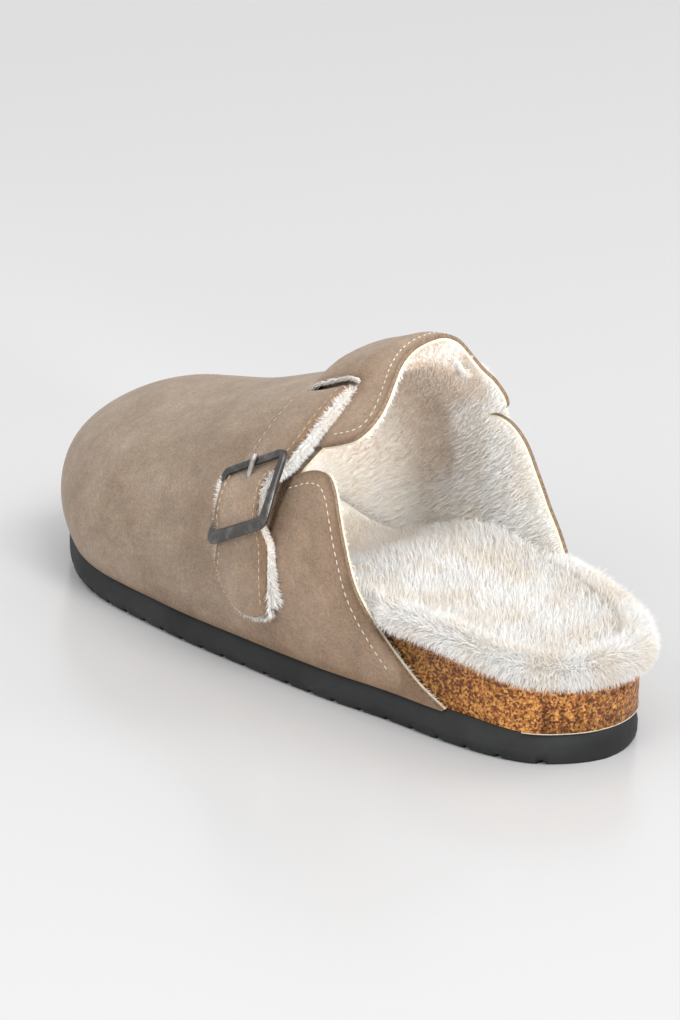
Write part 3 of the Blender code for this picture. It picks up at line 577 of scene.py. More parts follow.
def make_plain(name, dark, pale, scale, roughness, bump):
    """A finish between two close colours, with a fine grain."""
    material, tree, shader = start_material(name, pale, roughness)
    value = noise_value(tree, object_point(tree), scale)
    feed(tree, shader.inputs["Base Color"], ramp(tree, value, (0.35, dark), (0.65, pale)))
    add_bump(tree, shader, value, 0.4, bump)
    return material


# %% [markdown]
# Cork board is ground bark pressed into a block, so its colour changes from crumb to crumb. Two
# sizes of cell give the crumbs, each cell with one random value, and a ramp turns the value into
# bark's browns. Inside the upper the fur laps over the cork, so there it takes the fur's colour.

# %% Cork
CORK_GRAIN = 1600.0
CORK_BROWNS = (
    # share of the crumbs, colour
    (0.16, (0.10, 0.024, 0.004)), (0.34, (0.22, 0.060, 0.009)), (0.48, (0.40, 0.135, 0.022)),
    (0.64, (0.58, 0.235, 0.042)), (0.88, (0.80, 0.42, 0.11)),
)
CORK_SHADED = 0.07
CORK_COVERED = 0.14
FUR_OVER_CORK = (0.93, 0.90, 0.86, 1)


def grain_value(tree, point, scale):
    """One random value for each cell of ground bark, and the height of the cell."""
    wobble = new_node(tree, "ShaderNodeTexNoise")
    wobble.inputs["Scale"].default_value = scale * 1.4
    feed(tree, wobble.inputs["Vector"], point)
    bend = new_node(tree, "ShaderNodeVectorMath", operation="MULTIPLY_ADD")
    feed(tree, bend.inputs[0], wobble.outputs["Color"])
    feed(tree, bend.inputs[1], (0.9 / scale, 0.9 / scale, 0.9 / scale))
    feed(tree, bend.inputs[2], point)
    grains = new_node(tree, "ShaderNodeTexVoronoi", feature="SMOOTH_F1")
    grains.inputs["Smoothness"].default_value = 0.25
    grains.inputs["Scale"].default_value = scale
    feed(tree, grains.inputs["Vector"], bend.outputs[0])
    grey = new_node(tree, "ShaderNodeSeparateColor")
    feed(tree, grey.inputs[0], grains.outputs["Color"])
    return grey.outputs[0], grains.outputs["Distance"]


def make_cork():
    material, tree, shader = start_material("cork", (0.42, 0.19, 0.075), 0.6)
    point = object_point(tree)
    grain, height = grain_value(tree, point, CORK_GRAIN)
    crumb, _ = grain_value(tree, point, CORK_GRAIN * 0.45)
    mixed = maths(tree, "ADD", maths(tree, "MULTIPLY", grain, 0.7), maths(tree, "MULTIPLY", crumb, 0.3))
    shade = ramp(tree, noise_value(tree, point, 60), (0.3, (0.84, 0.82, 0.80)), (0.7, (1.14, 1.12, 1.08)))
    # painted shade: the cork turns darker and bluer from about two to five centimetres in front of the heel
    station = maths(tree, "ADD", forward_value(tree, point), HEEL_REST)
    painted_shade = maths(tree, "DIVIDE", station, CORK_SHADED)
    painted_shade = ramp(tree, painted_shade, (0.25, PLAIN_WHITE), (0.75, (0.60, 0.66, 0.78)))
    colour = tinted(tree, ramp(tree, mixed, *CORK_BROWNS), shade, painted_shade)
    covered = maths(tree, "DIVIDE", station, CORK_COVERED)
    covered = ramp(tree, covered, (0.54, (0, 0, 0)), (0.56, PLAIN_WHITE))
    feed(tree, shader.inputs["Base Color"], mix_colour(tree, covered, colour, FUR_OVER_CORK))
    shader.inputs["Coat Weight"].default_value = 0.2
    shader.inputs["Coat Roughness"].default_value = 0.4
    add_bump(tree, shader, height, 0.5, 0.0004)
    return material


# %% Rubber and metal


def make_rubber():
    material, tree, shader = start_material("outsole_rubber", (0.022, 0.023, 0.024), 0.6)
    point = object_point(tree)
    tone = noise_value(tree, point, 45)
    tone = ramp(tree, tone, (0.3, (0.014, 0.0145, 0.015)), (0.7, (0.030, 0.031, 0.032)))
    feed(tree, shader.inputs["Base Color"], tone)
    shader.inputs["Specular IOR Level"].default_value = 0.35
    add_bump(tree, shader, noise_value(tree, point, 700, 4), 0.35, 0.0003)
    return material


def make_metal(name, colour, roughness):
    """Dark plated metal, rubbed a little paler in places."""
    material, tree, shader = start_material(name, colour, roughness, 0.85)
    worn = noise_value(tree, object_point(tree), 260, 4)
    pale = tuple(min(1.0, 2.2 * channel) for channel in colour)
    feed(tree, shader.inputs["Base Color"], ramp(tree, worn, (0.45, colour), (0.75, pale)))
    add_bump(tree, shader, worn, 0.15, 0.0002)
    return material


# %% [markdown]
# A hair carries two attributes: `tip` runs from its root to its tip, and `tint` says how far it
# belongs to the short beige pile. The shader mixes its four colours from them.

# %% Fleece
FLEECE_ROOT = (0.95, 0.925, 0.885)
FLEECE_TIP = (0.985, 0.975, 0.955)
LOW_PILE_ROOT = (0.74, 0.56, 0.43)
LOW_PILE_TIP = (0.88, 0.74, 0.61)


def make_fleece():
    material, tree, shader = start_material("shearling", FLEECE_TIP, 0.9)
    tip = attribute_value(tree, "tip")
    white = ramp(tree, tip, (0.0, FLEECE_ROOT), (0.55, FLEECE_TIP))
    beige = ramp(tree, tip, (0.0, LOW_PILE_ROOT), (0.7, LOW_PILE_TIP))
    colour = mix_colour(tree, attribute_value(tree, "tint"), white, beige)
    blotch = noise_value(tree, object_point(tree), 65)
    blotch = ramp(tree, blotch, (0.40, (0.95, 0.905, 0.85)), (0.56, PLAIN_WHITE))
    feed(tree, shader.inputs["Base Color"], tinted(tree, colour, blotch))
    shader.inputs["Specular IOR Level"].default_value = 0.1
    shader.inputs["Sheen Weight"].default_value = 0.6
    shader.inputs["Sheen Roughness"].default_value = 0.6
    return material


suede = make_suede()
suede_edge = make_plain("suede_edge", (0.16, 0.105, 0.065), (0.30, 0.215, 0.150), 1200, 0.95, 0.0003)
cut_edge = make_plain("cut_edge", (0.70, 0.60, 0.43), (0.86, 0.78, 0.62), 900, 0.85, 0.0003)
dull_thread = make_plain("dull_thread", (0.42, 0.33, 0.24), (0.56, 0.46, 0.34), 2500, 0.7, 0.0002)
thread = make_plain("thread", (0.60, 0.51, 0.38), (0.78, 0.70, 0.57), 2500, 0.7, 0.0002)
backing = make_plain("fleece_backing", (0.90, 0.86, 0.80), (0.97, 0.955, 0.93), 300, 0.95, 0.0012)
cork = make_cork()
rubber = make_rubber()
metal = make_metal("buckle_metal", (0.095, 0.092, 0.088), 0.34)
prong_metal = make_metal("prong_metal", (0.30, 0.29, 0.28), 0.25)
rivet_metal = make_metal("rivet_metal", (0.075, 0.062, 0.050), 0.38)
tab_leather = make_plain("tab_leather", (0.40, 0.30, 0.19), (0.58, 0.47, 0.33), 400, 0.6, 0.0004)
fleece = make_fleece()
print("finishes:", len(bpy.data.materials))

# %% [markdown]
# ## Helpers for pieces
#
# A finished piece is a plain mesh at the origin. `settle` gives it its place in the frame: it
# rides on the shoe's one body and stands for the plain solid it covers.

# %% Helpers for pieces
PIECES = []


def mesh_object(name, mesh, materials):
    obj = bpy.data.objects.new(name, mesh)
    bpy.context.scene.collection.objects.link(obj)
    for material in materials:
        mesh.materials.append(material)
    return obj


def plain(obj):
    """Turns an object with modifiers into a plain mesh object."""
    graph = bpy.context.evaluated_depsgraph_get()
    mesh = bpy.data.meshes.new_from_object(obj.evaluated_get(graph), depsgraph=graph)
    old = obj.data
    obj.modifiers.clear()
    obj.data = mesh
    bpy.data.meshes.remove(old)
    mesh.name = obj.name
    return obj


def settle(obj, slot, *nodes):
    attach(obj, "root")
    if nodes:
        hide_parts(*nodes)
    obj.data.calc_loop_triangles()
    PIECES.append(obj)
    print("%s: %d triangles" % (obj.name, len(obj.data.loop_triangles)))
    return obj


def give_values(mesh, name, values):
    """Writes an attribute: one number or one vector for each vertex, or the same for all."""
    values = np.asarray(values, np.float32)
    count = len(mesh.vertices)
    if values.shape in ((3,), (count, 3)):
        data = np.broadcast_to(values, (count, 3)).copy()
        mesh.attributes.new(name, "FLOAT_VECTOR", "POINT").data.foreach_set("vector", data.ravel())
    else:
        data = np.broadcast_to(values, (count,)).copy()
        mesh.attributes.new(name, "FLOAT", "POINT").data.foreach_set("value", data)


def soften(mesh, degrees):
    mesh.shade_smooth()
    mesh.set_sharp_from_angle(angle=math.radians(degrees))


def grid_mesh(name, places, closed_across=False, caps=False):
    """A mesh through a grid of points: rows along, columns across."""
    rows, columns = places.shape[:2]
    faces = []
    for i in range(rows - 1):
        for j in range(columns if closed_across else columns - 1):
            k = (j + 1) % columns
            faces.append((i * columns + j, i * columns + k, (i + 1) * columns + k, (i + 1) * columns + j))
    if caps:
        faces.append(tuple(range(columns))[::-1])
        faces.append(tuple((rows - 1) * columns + j for j in range(columns)))
    mesh = bpy.data.meshes.new(name)
    mesh.from_pydata(places.reshape(-1, 3).tolist(), [], faces)
    if closed_across and caps:
        turn_outward(mesh)
    return mesh


def face_outward(bm):
    """Points the faces of a closed shell outwards."""
    bmesh.ops.recalc_face_normals(bm, faces=bm.faces)
    if bm.calc_volume(signed=True) < 0:
        bmesh.ops.reverse_faces(bm, faces=bm.faces)


def turn_outward(mesh):
    bm = bmesh.new()
    bm.from_mesh(mesh)
    bmesh.ops.remove_doubles(bm, verts=bm.verts, dist=0.00001)
    face_outward(bm)
    bm.to_mesh(mesh)
    bm.free()


def turn_skin(mesh, directions):
    """Faces an open skin along directions, one for all or one for each vertex."""
    mesh.update()
    directions = np.broadcast_to(directions, (len(mesh.vertices), 3))
    along = 0.0
    for face in mesh.polygons:
        along += float(np.dot(directions[list(face.vertices)].mean(axis=0), face.normal))
    if along < 0:
        mesh.flip_normals()


def merged_copy(node, name, material, degrees):
    """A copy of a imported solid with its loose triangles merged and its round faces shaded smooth."""
    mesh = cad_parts[node].data.copy()
    mesh.materials.clear()
    turn_outward(mesh)
    soften(mesh, degrees)
    return mesh_object(name, mesh, [material])


# %% [markdown]
# ## The suede upper
#
# The flat pattern is filled with small even triangles, which then wrap over the last. A second
# set of faces, a suede's thickness further in, closes it to a wall. The wall's rim is the cut
# edge, which shows cream on the real shoe because the hide is dyed only on its face.

# %% The pattern's outline
SHEET_PITCH = 0.0023
CORNER_GIRTH = 0.012


def sole_edge(start, end, count):
    """Along the sole from the lateral quarter, round the toe, to the medial quarter."""
    lateral = [(u, 1.0) for u in np.linspace(start, POLE, count)[:-1]]
    turns = 4 * count // 3
    angles = [math.pi / 2 - math.pi * i / turns for i in range(turns + 1)]
    toe = [(POLE + (1 - POLE) * math.cos(angle), math.sin(angle)) for angle in angles]
    medial = [(u, -1.0) for u in np.linspace(POLE, end, count)[1:]]
    return lateral + toe + medial


def slot_edge(side):
    """The cut beside the strap, from the quarter's front corner round to the bridge's rear corner."""
    sign = 1 if side == "lateral" else -1
    corner_station, corner_girth = QUARTER_EDGE[side][-1]
    low_station, low_girth = SLIT_END[side]
    flap_station, flap_girth = FLAP_EDGE[0 if side == "lateral" else -1]
    rear, front = (float(edge) for edge in strap_edges(sign * BRIDGE_HALF))
    half = SLIT_WIDTH / 2 / LENGTH
    gap = EDGE_GAP / LENGTH

    def strap_edge(girth, which):
        return float(strap_edges(sign * girth)[which])

    points = []
    for share in (0.33, 0.66):
        station = corner_station + (low_station - half - corner_station) * share
        points.append((station, corner_girth + (low_girth - CORNER_GIRTH - corner_girth) * share))
    points += [
        (low_station - half, low_girth - CORNER_GIRTH),
        (low_station, low_girth),
        (low_station + half, low_girth - CORNER_GIRTH),
        (low_station + half, corner_girth - 0.02),
        (low_station + half, SLOT_END + 0.050),
        (low_station + 0.3 * (front - low_station), SLOT_END + CORNER_GIRTH),
        (low_station + 0.7 * (front - low_station), SLOT_END),
        (strap_edge(SLOT_END, 1) + gap, SLOT_END - 0.015),
        (strap_edge(0.37, 1) + gap, 0.37),
        (front + gap, BRIDGE_HALF + CORNER_GIRTH),
        (front - gap, BRIDGE_HALF),
        ((front + rear) / 2, BRIDGE_HALF - 0.010),
        (rear + gap, BRIDGE_HALF),
        (rear - gap, BRIDGE_HALF + CORNER_GIRTH),
    ]
    for share in (0.35, 0.7):
        girth = abs(flap_girth) - BRIDGE_HALF - 2 * CORNER_GIRTH
        girth = BRIDGE_HALF + CORNER_GIRTH + girth * share
        points.append((strap_edge(girth, 0) - gap, girth))
    points.append((flap_station + 0.006, abs(flap_girth) - CORNER_GIRTH))
    return [(station, sign * girth) for station, girth in points]


def quarter_line(side):
    """The quarter's cut edge, from the sole up to its front corner."""
    return cut_line(QUARTER_EDGE[side], 1 if side == "lateral" else -1)


def upper_outline(slots=True):
    """The closed cut line of the upper; the hide behind it has no slots."""
    lateral, medial = quarter_line("lateral"), quarter_line("medial")
    points = sole_edge(lateral[0][0], medial[0][0], 90) + medial[1:]
    if slots:
        points += slot_edge("medial")
    points += cut_line(FLAP_EDGE)[::-1]
    if slots:
        points += slot_edge("lateral")[::-1]
    return points + lateral[:0:-1]


def spread(p, q):
    """Stretches the pattern so that its triangles come out even on the last."""
    ahead = np.maximum(0.0, p - POLE)
    return LENGTH * np.minimum(p, POLE) + HALF_GIRTH * ahead / (1 - POLE), HALF_GIRTH * q


def unspread(x, y):
    ahead = np.maximum(0.0, x - LENGTH * POLE)
    return np.minimum(x / LENGTH, POLE) + (1 - POLE) * ahead / HALF_GIRTH, y / HALF_GIRTH


# %% Filling the outline


def finer(outline, longest):
    """The closed outline with long straight stretches divided."""
    points = []
    for first, second in zip(outline, np.roll(outline, -1, axis=0)):
        count = max(1, int(np.ceil(np.linalg.norm(second - first) / longest)))
        points.extend(first + (second - first) * i / count for i in range(count))
    return np.array(points)


def inside(points, outline):
    found = np.zeros(len(points), bool)
    for (x0, y0), (x1, y1) in zip(outline, np.roll(outline, -1, axis=0)):
        if y1 == y0:
            continue
        crosses = (y0 > points[:, 1]) != (y1 > points[:, 1])
        found ^= crosses & (points[:, 0] < x0 + (points[:, 1] - y0) * (x1 - x0) / (y1 - y0))
    return found


def edge_distance(points, outline):
    nearest = np.full(len(points), np.inf)
    for first, second in zip(outline, np.roll(outline, -1, axis=0)):
        along = second - first
        t = np.clip((points - first) @ along / max(along @ along, 1e-12), 0, 1)
        nearest = np.minimum(nearest, np.linalg.norm(points - first - t[:, None] * along, axis=1))
    return nearest


def wrapped_sheet(name, outline, pitch, wrap, top_up=True):
    """Triangulates a flat outline, wraps it over the last and keeps each point's pattern place."""
    flat = finer(np.array([spread(p, q) for p, q in outline]), pitch)
    low, high = flat.min(axis=0), flat.max(axis=0)
    height = pitch * math.sqrt(3) / 2
    rows, columns = int((high[1] - low[1]) / height) + 1, int((high[0] - low[0]) / pitch) + 1
    j, i = np.mgrid[0:rows, 0:columns]
    grid = np.stack([low[0] + (i + 0.5 * (j % 2)) * pitch, low[1] + j * height], -1).reshape(-1, 2)
    grid = grid[inside(grid, flat)]
    grid = grid[edge_distance(grid, flat) > 0.5 * pitch]
    corners = [Vector(point) for point in flat] + [Vector(point) for point in grid]
    found, _, triangles, *_ = geometry.delaunay_2d_cdt(corners, [], [list(range(len(flat)))], 1, 1e-8)
    used = sorted({i for triangle in triangles for i in triangle})
    order = {old: new for new, old in enumerate(used)}
    flat_places = np.array([found[i] for i in used])
    p, q = unspread(flat_places[:, 0], flat_places[:, 1])
    mesh = bpy.data.meshes.new(name)
    mesh.from_pydata(wrap(p, q).tolist(), [], [[order[i] for i in triangle] for triangle in triangles])
    give_values(mesh, "edge", edge_distance(flat_places, flat))
    bm = bmesh.new()
    bm.from_mesh(mesh)
    bmesh.ops.recalc_face_normals(bm, faces=bm.faces)
    highest = max(bm.faces, key=lambda face: face.calc_center_median().z)
    if (highest.normal.z > 0) != top_up:
        bmesh.ops.reverse_faces(bm, faces=bm.faces)
    bm.to_mesh(mesh)
    bm.free()
    return mesh, p, q


# %% The upper
SUEDE_FACE = 0.0013


def walled(name, mesh, thickness, materials):
    """Gives a sheet its thickness inwards: face, back and rim finish."""
    obj = mesh_object(name, mesh, materials)
    wall = obj.modifiers.new("Wall", "SOLIDIFY")
    wall.thickness = thickness
    wall.offset = -1
    wall.material_offset = 1
    wall.material_offset_rim = 2
    plain(obj)
    soften(obj.data, 48)
    return obj


def build_upper():
    mesh, _, _ = wrapped_sheet("suede_upper", upper_outline(), SHEET_PITCH, upper_point)
    settle(walled("suede_upper", mesh, SUEDE_FACE, [suede, suede_edge, suede_edge]), "suede", "upper")


# %% [markdown]
# The fleece grows on a hide of its own, glued in behind the suede. It has no slots: it dives under
# the strap, so that the strap runs between the two. It is wrapped from the same outline.

# %% The hide behind the suede
LINING_LEAVES = 0.385
HIDE = 0.0009
HIDE_PITCH = 0.0028


def lining_lift(p, q):
    """The hide follows the flap at its edge, then dives under the strap."""
    return bridge_lift(p, q) * (1 - ease((p - LINING_LEAVES) / 0.018))


def lining_point(p, q, inward=SUEDE_FACE + 0.00005):
    return upper_point(p, q, inward, lining_lift)


def build_hide():
    mesh, _, _ = wrapped_sheet("lining_hide", upper_outline(False), HIDE_PITCH, lining_point)
    settle(walled("lining_hide", mesh, HIDE, [suede_edge, backing, cut_edge]), "shearling")


build_upper()
build_hide()

# %% [markdown]
# ## The sole
#
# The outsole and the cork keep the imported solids' shapes. Each is copied, its triangles are
# merged, and its round sides are shaded smooth while the real corners stay sharp.

# %% Outsole and cork
settle(merged_copy("outsole", "rubber_outsole", rubber, 35), "outsole_rubber", "outsole")
settle(merged_copy("cork_footbed", "cork_sole", cork, 40), "cork", "cork_footbed")

# %% [markdown]
# ## Fleece
#
# A sheepskin is tens of thousands of hairs in soft locks. Particle hair wouldn't survive the
# export, so Geometry Nodes plant a small bent ribbon on each random point of a skin mesh. The
# skin carries three attributes: `pile` scales the hair's length, `cover` its density, and `comb`
# is the way it is combed. A low noise leans neighbouring hairs together, which makes the locks.

# %% One hair
HAIR_BEND = 0.30
HAIR_STOPS = ((0.0, 1.0), (0.5, 0.85))


def make_hair():
    """A flat tapering ribbon, one unit long and one unit wide, that bends over towards its tip."""
    places, faces, tips = [], [], []
    for share, width in HAIR_STOPS:
        for side in (-0.5, 0.5):
            places.append((side * width, HAIR_BEND * share * share, share))
            tips.append(share)
    places.append((0, HAIR_BEND, 0.96))
    tips.append(1.0)
    for i in range(len(HAIR_STOPS) - 1):
        faces.append((2 * i, 2 * i + 1, 2 * i + 3, 2 * i + 2))
    last_pair = 2 * len(HAIR_STOPS) - 2
    faces.append((last_pair, last_pair + 1, last_pair + 2))
    mesh = bpy.data.meshes.new("hair")
    mesh.from_pydata(places, [], faces)
    mesh.attributes.new("tip", "FLOAT", "POINT").data.foreach_set("value", tips)
    mesh.shade_smooth()
    return mesh_object("hair", mesh, [])


# %% Helpers for trees


def new_tree(name, inputs, output):
    """An empty tree with named inputs and one geometry output, and the node that gives the inputs."""
    tree = bpy.data.node_groups.new(name, "GeometryNodeTree")
    for label, kind in inputs.items():
        tree.interface.new_socket(name=label, in_out="INPUT", socket_type="NodeSocket" + kind)
    tree.interface.new_socket(name=output, in_out="OUTPUT", socket_type="NodeSocketGeometry")
    return tree, new_node(tree, "NodeGroupInput").outputs


def named(tree, name, kind):
    node = new_node(tree, "GeometryNodeInputNamedAttribute", data_type=kind)
    node.inputs["Name"].default_value = name
    return next(socket for socket in node.outputs if socket.enabled and socket.name == "Attribute")


def vectors(tree, operation, first, second):
    node = new_node(tree, "ShaderNodeVectorMath", operation=operation)
    feed(tree, node.inputs[0], first)
    feed(tree, node.inputs[1], second)
    return node.outputs["Vector"]


def scaled(tree, vector, factor):
    node = new_node(tree, "ShaderNodeVectorMath", operation="SCALE")
    feed(tree, node.inputs[0], vector)
    feed(tree, node.inputs["Scale"], factor)
    return node.outputs["Vector"]


def random_float(tree, low, high, seed):
    node = new_node(tree, "FunctionNodeRandomValue", data_type="FLOAT")
    node.inputs[2].default_value = low
    node.inputs[3].default_value = high
    node.inputs["Seed"].default_value = seed
    return node.outputs[1]


def lay_copies(tree, points, source, turn, finish, size=None):
    """A tree's last nodes: copies of a source object on points, made real and given their finish."""
    shape = new_node(tree, "GeometryNodeObjectInfo")
    feed(tree, shape.inputs["Object"], source)
    copies = new_node(tree, "GeometryNodeInstanceOnPoints")
    feed(tree, copies.inputs["Points"], points)
    feed(tree, copies.inputs["Instance"], shape.outputs["Geometry"])
    feed(tree, copies.inputs["Rotation"], turn)
    if size:
        feed(tree, copies.inputs["Scale"], size)
    real = new_node(tree, "GeometryNodeRealizeInstances")
    feed(tree, real.inputs[0], copies.outputs[0])
    finished = new_node(tree, "GeometryNodeSetMaterial")
    feed(tree, finished.inputs["Geometry"], real.outputs[0])
    feed(tree, finished.inputs["Material"], finish)
    feed(tree, new_node(tree, "NodeGroupOutput").inputs[0], finished.outputs[0])


def run_tree(obj, tree, values):
    """Runs a tree on an object, each input by its name, and keeps the result as a plain mesh."""
    modifier = obj.modifiers.new(tree.name, "NODES")
    modifier.node_group = tree
    sockets = {item.name: item.identifier for item in tree.interface.items_tree if item.in_out == "INPUT"}
    for name, value in values.items():
        modifier[sockets[name]] = value
    return plain(obj)


# %% The fleece tree
STRAY = 0.28
SHORTEST, LONGEST = 0.55, 1.15


def hair_turn(tree, normal, lean):
    """Which way each hair points: off the skin, with its lock, as it is combed, and a little astray."""
    stray = new_node(tree, "FunctionNodeRandomValue", data_type="FLOAT_VECTOR")
    stray.inputs[0].default_value = (-STRAY, -STRAY, -STRAY)
    stray.inputs[1].default_value = (STRAY, STRAY, STRAY)
    heading = vectors(tree, "ADD", normal, lean)
    heading = vectors(tree, "ADD", heading, named(tree, "comb", "FLOAT_VECTOR"))
    heading = vectors(tree, "ADD", heading, stray.outputs[0])
    aligned = new_node(tree, "FunctionNodeAlignRotationToVector", axis="Z")
    feed(tree, aligned.inputs["Vector"], heading)
    twist = new_node(tree, "ShaderNodeCombineXYZ")
    feed(tree, twist.inputs["Z"], random_float(tree, 0, 2 * math.pi, 3))
    turn = new_node(tree, "FunctionNodeEulerToRotation")
    feed(tree, turn.inputs[0], twist.outputs[0])
    turned = new_node(tree, "FunctionNodeRotateRotation", rotation_space="LOCAL")
    feed(tree, turned.inputs[0], aligned.outputs[0])
    feed(tree, turned.inputs[1], turn.outputs[0])
    return turned.outputs[0]


def make_fleece_tree():
    inputs = {"Skin": "Geometry", "Density": "Float", "Length": "Float", "Width": "Float", "Lean": "Float",
              "Lock Scale": "Float", "Seed": "Int", "Hair": "Object", "Finish": "Material"}
    tree, given = new_tree("fleece", inputs, "Fleece")
    plant = new_node(tree, "GeometryNodeDistributePointsOnFaces", distribute_method="RANDOM")
    feed(tree, plant.inputs["Mesh"], given["Skin"])
    density = maths(tree, "MULTIPLY", given["Density"], named(tree, "cover", "FLOAT"))
    feed(tree, plant.inputs["Density"], density)
    feed(tree, plant.inputs["Seed"], given["Seed"])
    locks = new_node(tree, "ShaderNodeTexNoise")
    feed(tree, locks.inputs["Scale"], given["Lock Scale"])
    locks.inputs["Detail"].default_value = 1.5
    lean = scaled(tree, vectors(tree, "SUBTRACT", locks.outputs[1], (0.5, 0.5, 0.5)), given["Lean"])
    longer = maths(tree, "MULTIPLY", random_float(tree, SHORTEST, LONGEST, 5), named(tree, "pile", "FLOAT"))
    longer = maths(tree, "MULTIPLY", longer, given["Length"])
    size = new_node(tree, "ShaderNodeCombineXYZ")
    for axis, value in (("X", given["Width"]), ("Y", longer), ("Z", longer)):
        feed(tree, size.inputs[axis], value)
    turn = hair_turn(tree, plant.outputs["Normal"], lean)
    lay_copies(tree, plant.outputs["Points"], given["Hair"], turn, given["Finish"], size.outputs[0])
    return tree


hair = make_hair()
fleece_tree = make_fleece_tree()

# %% Growing fleece
FLEECES = {
    # piece: hairs per square millimetre, length, width, lean, lock scale, seed
    "insole_fleece": (7.4, 0.0052, 0.00020, 0.9, 190, 11),
    "heel_roll_fleece": (13, 0.0036, 0.00019, 0.9, 230, 17),
    "lining_fleece": (3.9, 0.0042, 0.00020, 1.0, 190, 23),
    "slot_fuzz": (9, 0.0013, 0.00018, 0.8, 190, 29),
    "bridge_fuzz_lateral": (26, 0.0019, 0.00015, 0.9, 300, 42),
    "bridge_fuzz_medial": (26, 0.0019, 0.00015, 0.9, 300, 40),
    "strap_fleece_rear": (20, 0.0022, 0.00017, 0.8, 330, 31),
    "strap_fleece_front": (30, 0.0030, 0.00015, 1.1, 330, 37),
    "strap_fleece_tail": (24, 0.0027, 0.00015, 1.0, 330, 43),
}


def grow_fleece(skin, pile, cover, comb, tint):
    """Hairs on a skin mesh; each attribute is one value or one row for each vertex."""
    for name, values in (("pile", pile), ("cover", cover), ("comb", comb), ("tint", tint)):
        give_values(skin, name, values)
    density, length, width, lean, lock_scale, seed = FLEECES[skin.name]
    values = {"Density": density * 1e6, "Length": length, "Width": width, "Lean": lean,
              "Lock Scale": float(lock_scale), "Seed": seed, "Hair": hair, "Finish": fleece}
    obj = mesh_object(skin.name, skin, [])
    settle(run_tree(obj, fleece_tree, values), "shearling")


# %% [markdown]
# ## The insole's pile
#
# The pile stands highest at the open heel, where nothing has worn it, and hangs over the cork's
# edge there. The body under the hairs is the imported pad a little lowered, so the hairs give the
# surface. They are combed outward and down at the rim, and shorter towards the toe.

# %% The footbed's form


def cork_rim(u):
    rim = CORK_RIM * (1 + 0.20 * ease(u / 0.18) - 0.62 * ease((u - 0.30) / 0.34))
    return rim, rim + CORK_RIM * 0.30 * np.exp(-(((u - 0.36) / 0.13) ** 2))


def open_heel(u):
    """1 where the footbed's rim is open, 0 where the quarters stand beside it."""
    return 1 - ease((u - 0.225) / 0.045)


def pile_inset(u):
    return SUEDE + 0.0018 - (PILE_OVERHANG + SUEDE) * open_heel(u)


def pile_place(u, across, sink=0.0):
    """A point on the pile: across runs from 1 on the lateral side to -1 on the medial side."""
    lateral, medial = sides(u)
    half = (lateral - medial) / 2
    inset = np.minimum(pile_inset(u), 0.75 * half)
    middle = (lateral + medial) / 2
    y = middle + across * (half - inset)
    rims = cork_rim(u)
    rim = rims[1] + (rims[0] - rims[1]) * (across + 1) / 2
    dish = CORK_DISH * np.minimum(1.0, half / (0.35 * HEEL_WIDTH)) * (1 - across**4)
    pile = PILE * (1 - 0.35 * ease((u - 0.25) / 0.3))
    crown = pile * (0.38 + 0.62 * np.sqrt(1 - np.minimum(1.0, across * across)))
    z = sole_top(u) + rim - dish + GAP + crown - sink
    return np.stack(np.broadcast_arrays(from_heel(u), y, z), -1)


# %% The insole
PILE_SINK = 0.0026
PAD = 0.0016
PAD_WIDTH = 0.97


def pad_grid(last_station, rows):
    """Stations and places across for a grid on the pad, closer together at its ends and sides."""
    u = (1 - np.cos(np.linspace(round_station(0.004), round_station(last_station), rows))) / 2
    return np.broadcast_arrays(u[:, None], np.sin(np.linspace(-math.pi / 2, math.pi / 2, 34)))


def build_insole():
    u, across = pad_grid(0.985, 90)
    top = pile_place(u, across * PAD_WIDTH, PILE_SINK)
    under = top[:, ::-1].copy()
    under[..., 2] -= PAD
    mesh = grid_mesh("fleece_insole", np.concatenate([top, under], axis=1), True, True)
    soften(mesh, 60)
    settle(mesh_object("fleece_insole", mesh, [backing]), "shearling", "shearling_insole")


def build_insole_fleece():
    u, across = (values[:, ::-1] for values in pad_grid(0.66, 80))
    skin = grid_mesh("insole_fleece", pile_place(u, across * PAD_WIDTH, PILE_SINK))
    turn_skin(skin, (0, 0, 1))
    u, across = u.ravel(), across.ravel()
    rim = ease((np.abs(across) - 0.72) / 0.26)
    heel_end = ease((0.035 - u) / 0.03)
    outward = np.stack([-heel_end * 1.1, np.sign(across) * rim, np.zeros(len(rim))], -1)
    edge = np.maximum(rim, heel_end) * open_heel(u)
    comb = outward * edge[:, None] * 1.1
    comb[:, 2] -= 0.75 * edge
    pile = 0.95 + 0.15 * edge - 0.25 * ease((u - 0.30) / 0.2)
    cover = 1 - 0.75 * ease((u - 0.42) / 0.12)
    grow_fleece(skin, pile, cover, comb, 0.25 * ease((u - 0.34) / 0.2))


# %% [markdown]
# Round the open heel the sheepskin is turned over the rim, which makes a soft roll. One profile of
# eight points is swept round the heel, tucked in beside the quarters, and grown with hairs.

# %% The roll over the heel's rim
ROLL_END = 0.290
ROLL_PROFILE = (
    # out from the cork's side, up from its rim, in millimetres
    (-6.0, 2.4), (-3.5, 3.1), (-1.2, 2.9), (0.8, 1.9), (2.0, 0.3), (2.4, -1.3), (1.9, -2.7), (0.5, -3.6),
)
ROLL_TUCK = SUEDE + 0.0030


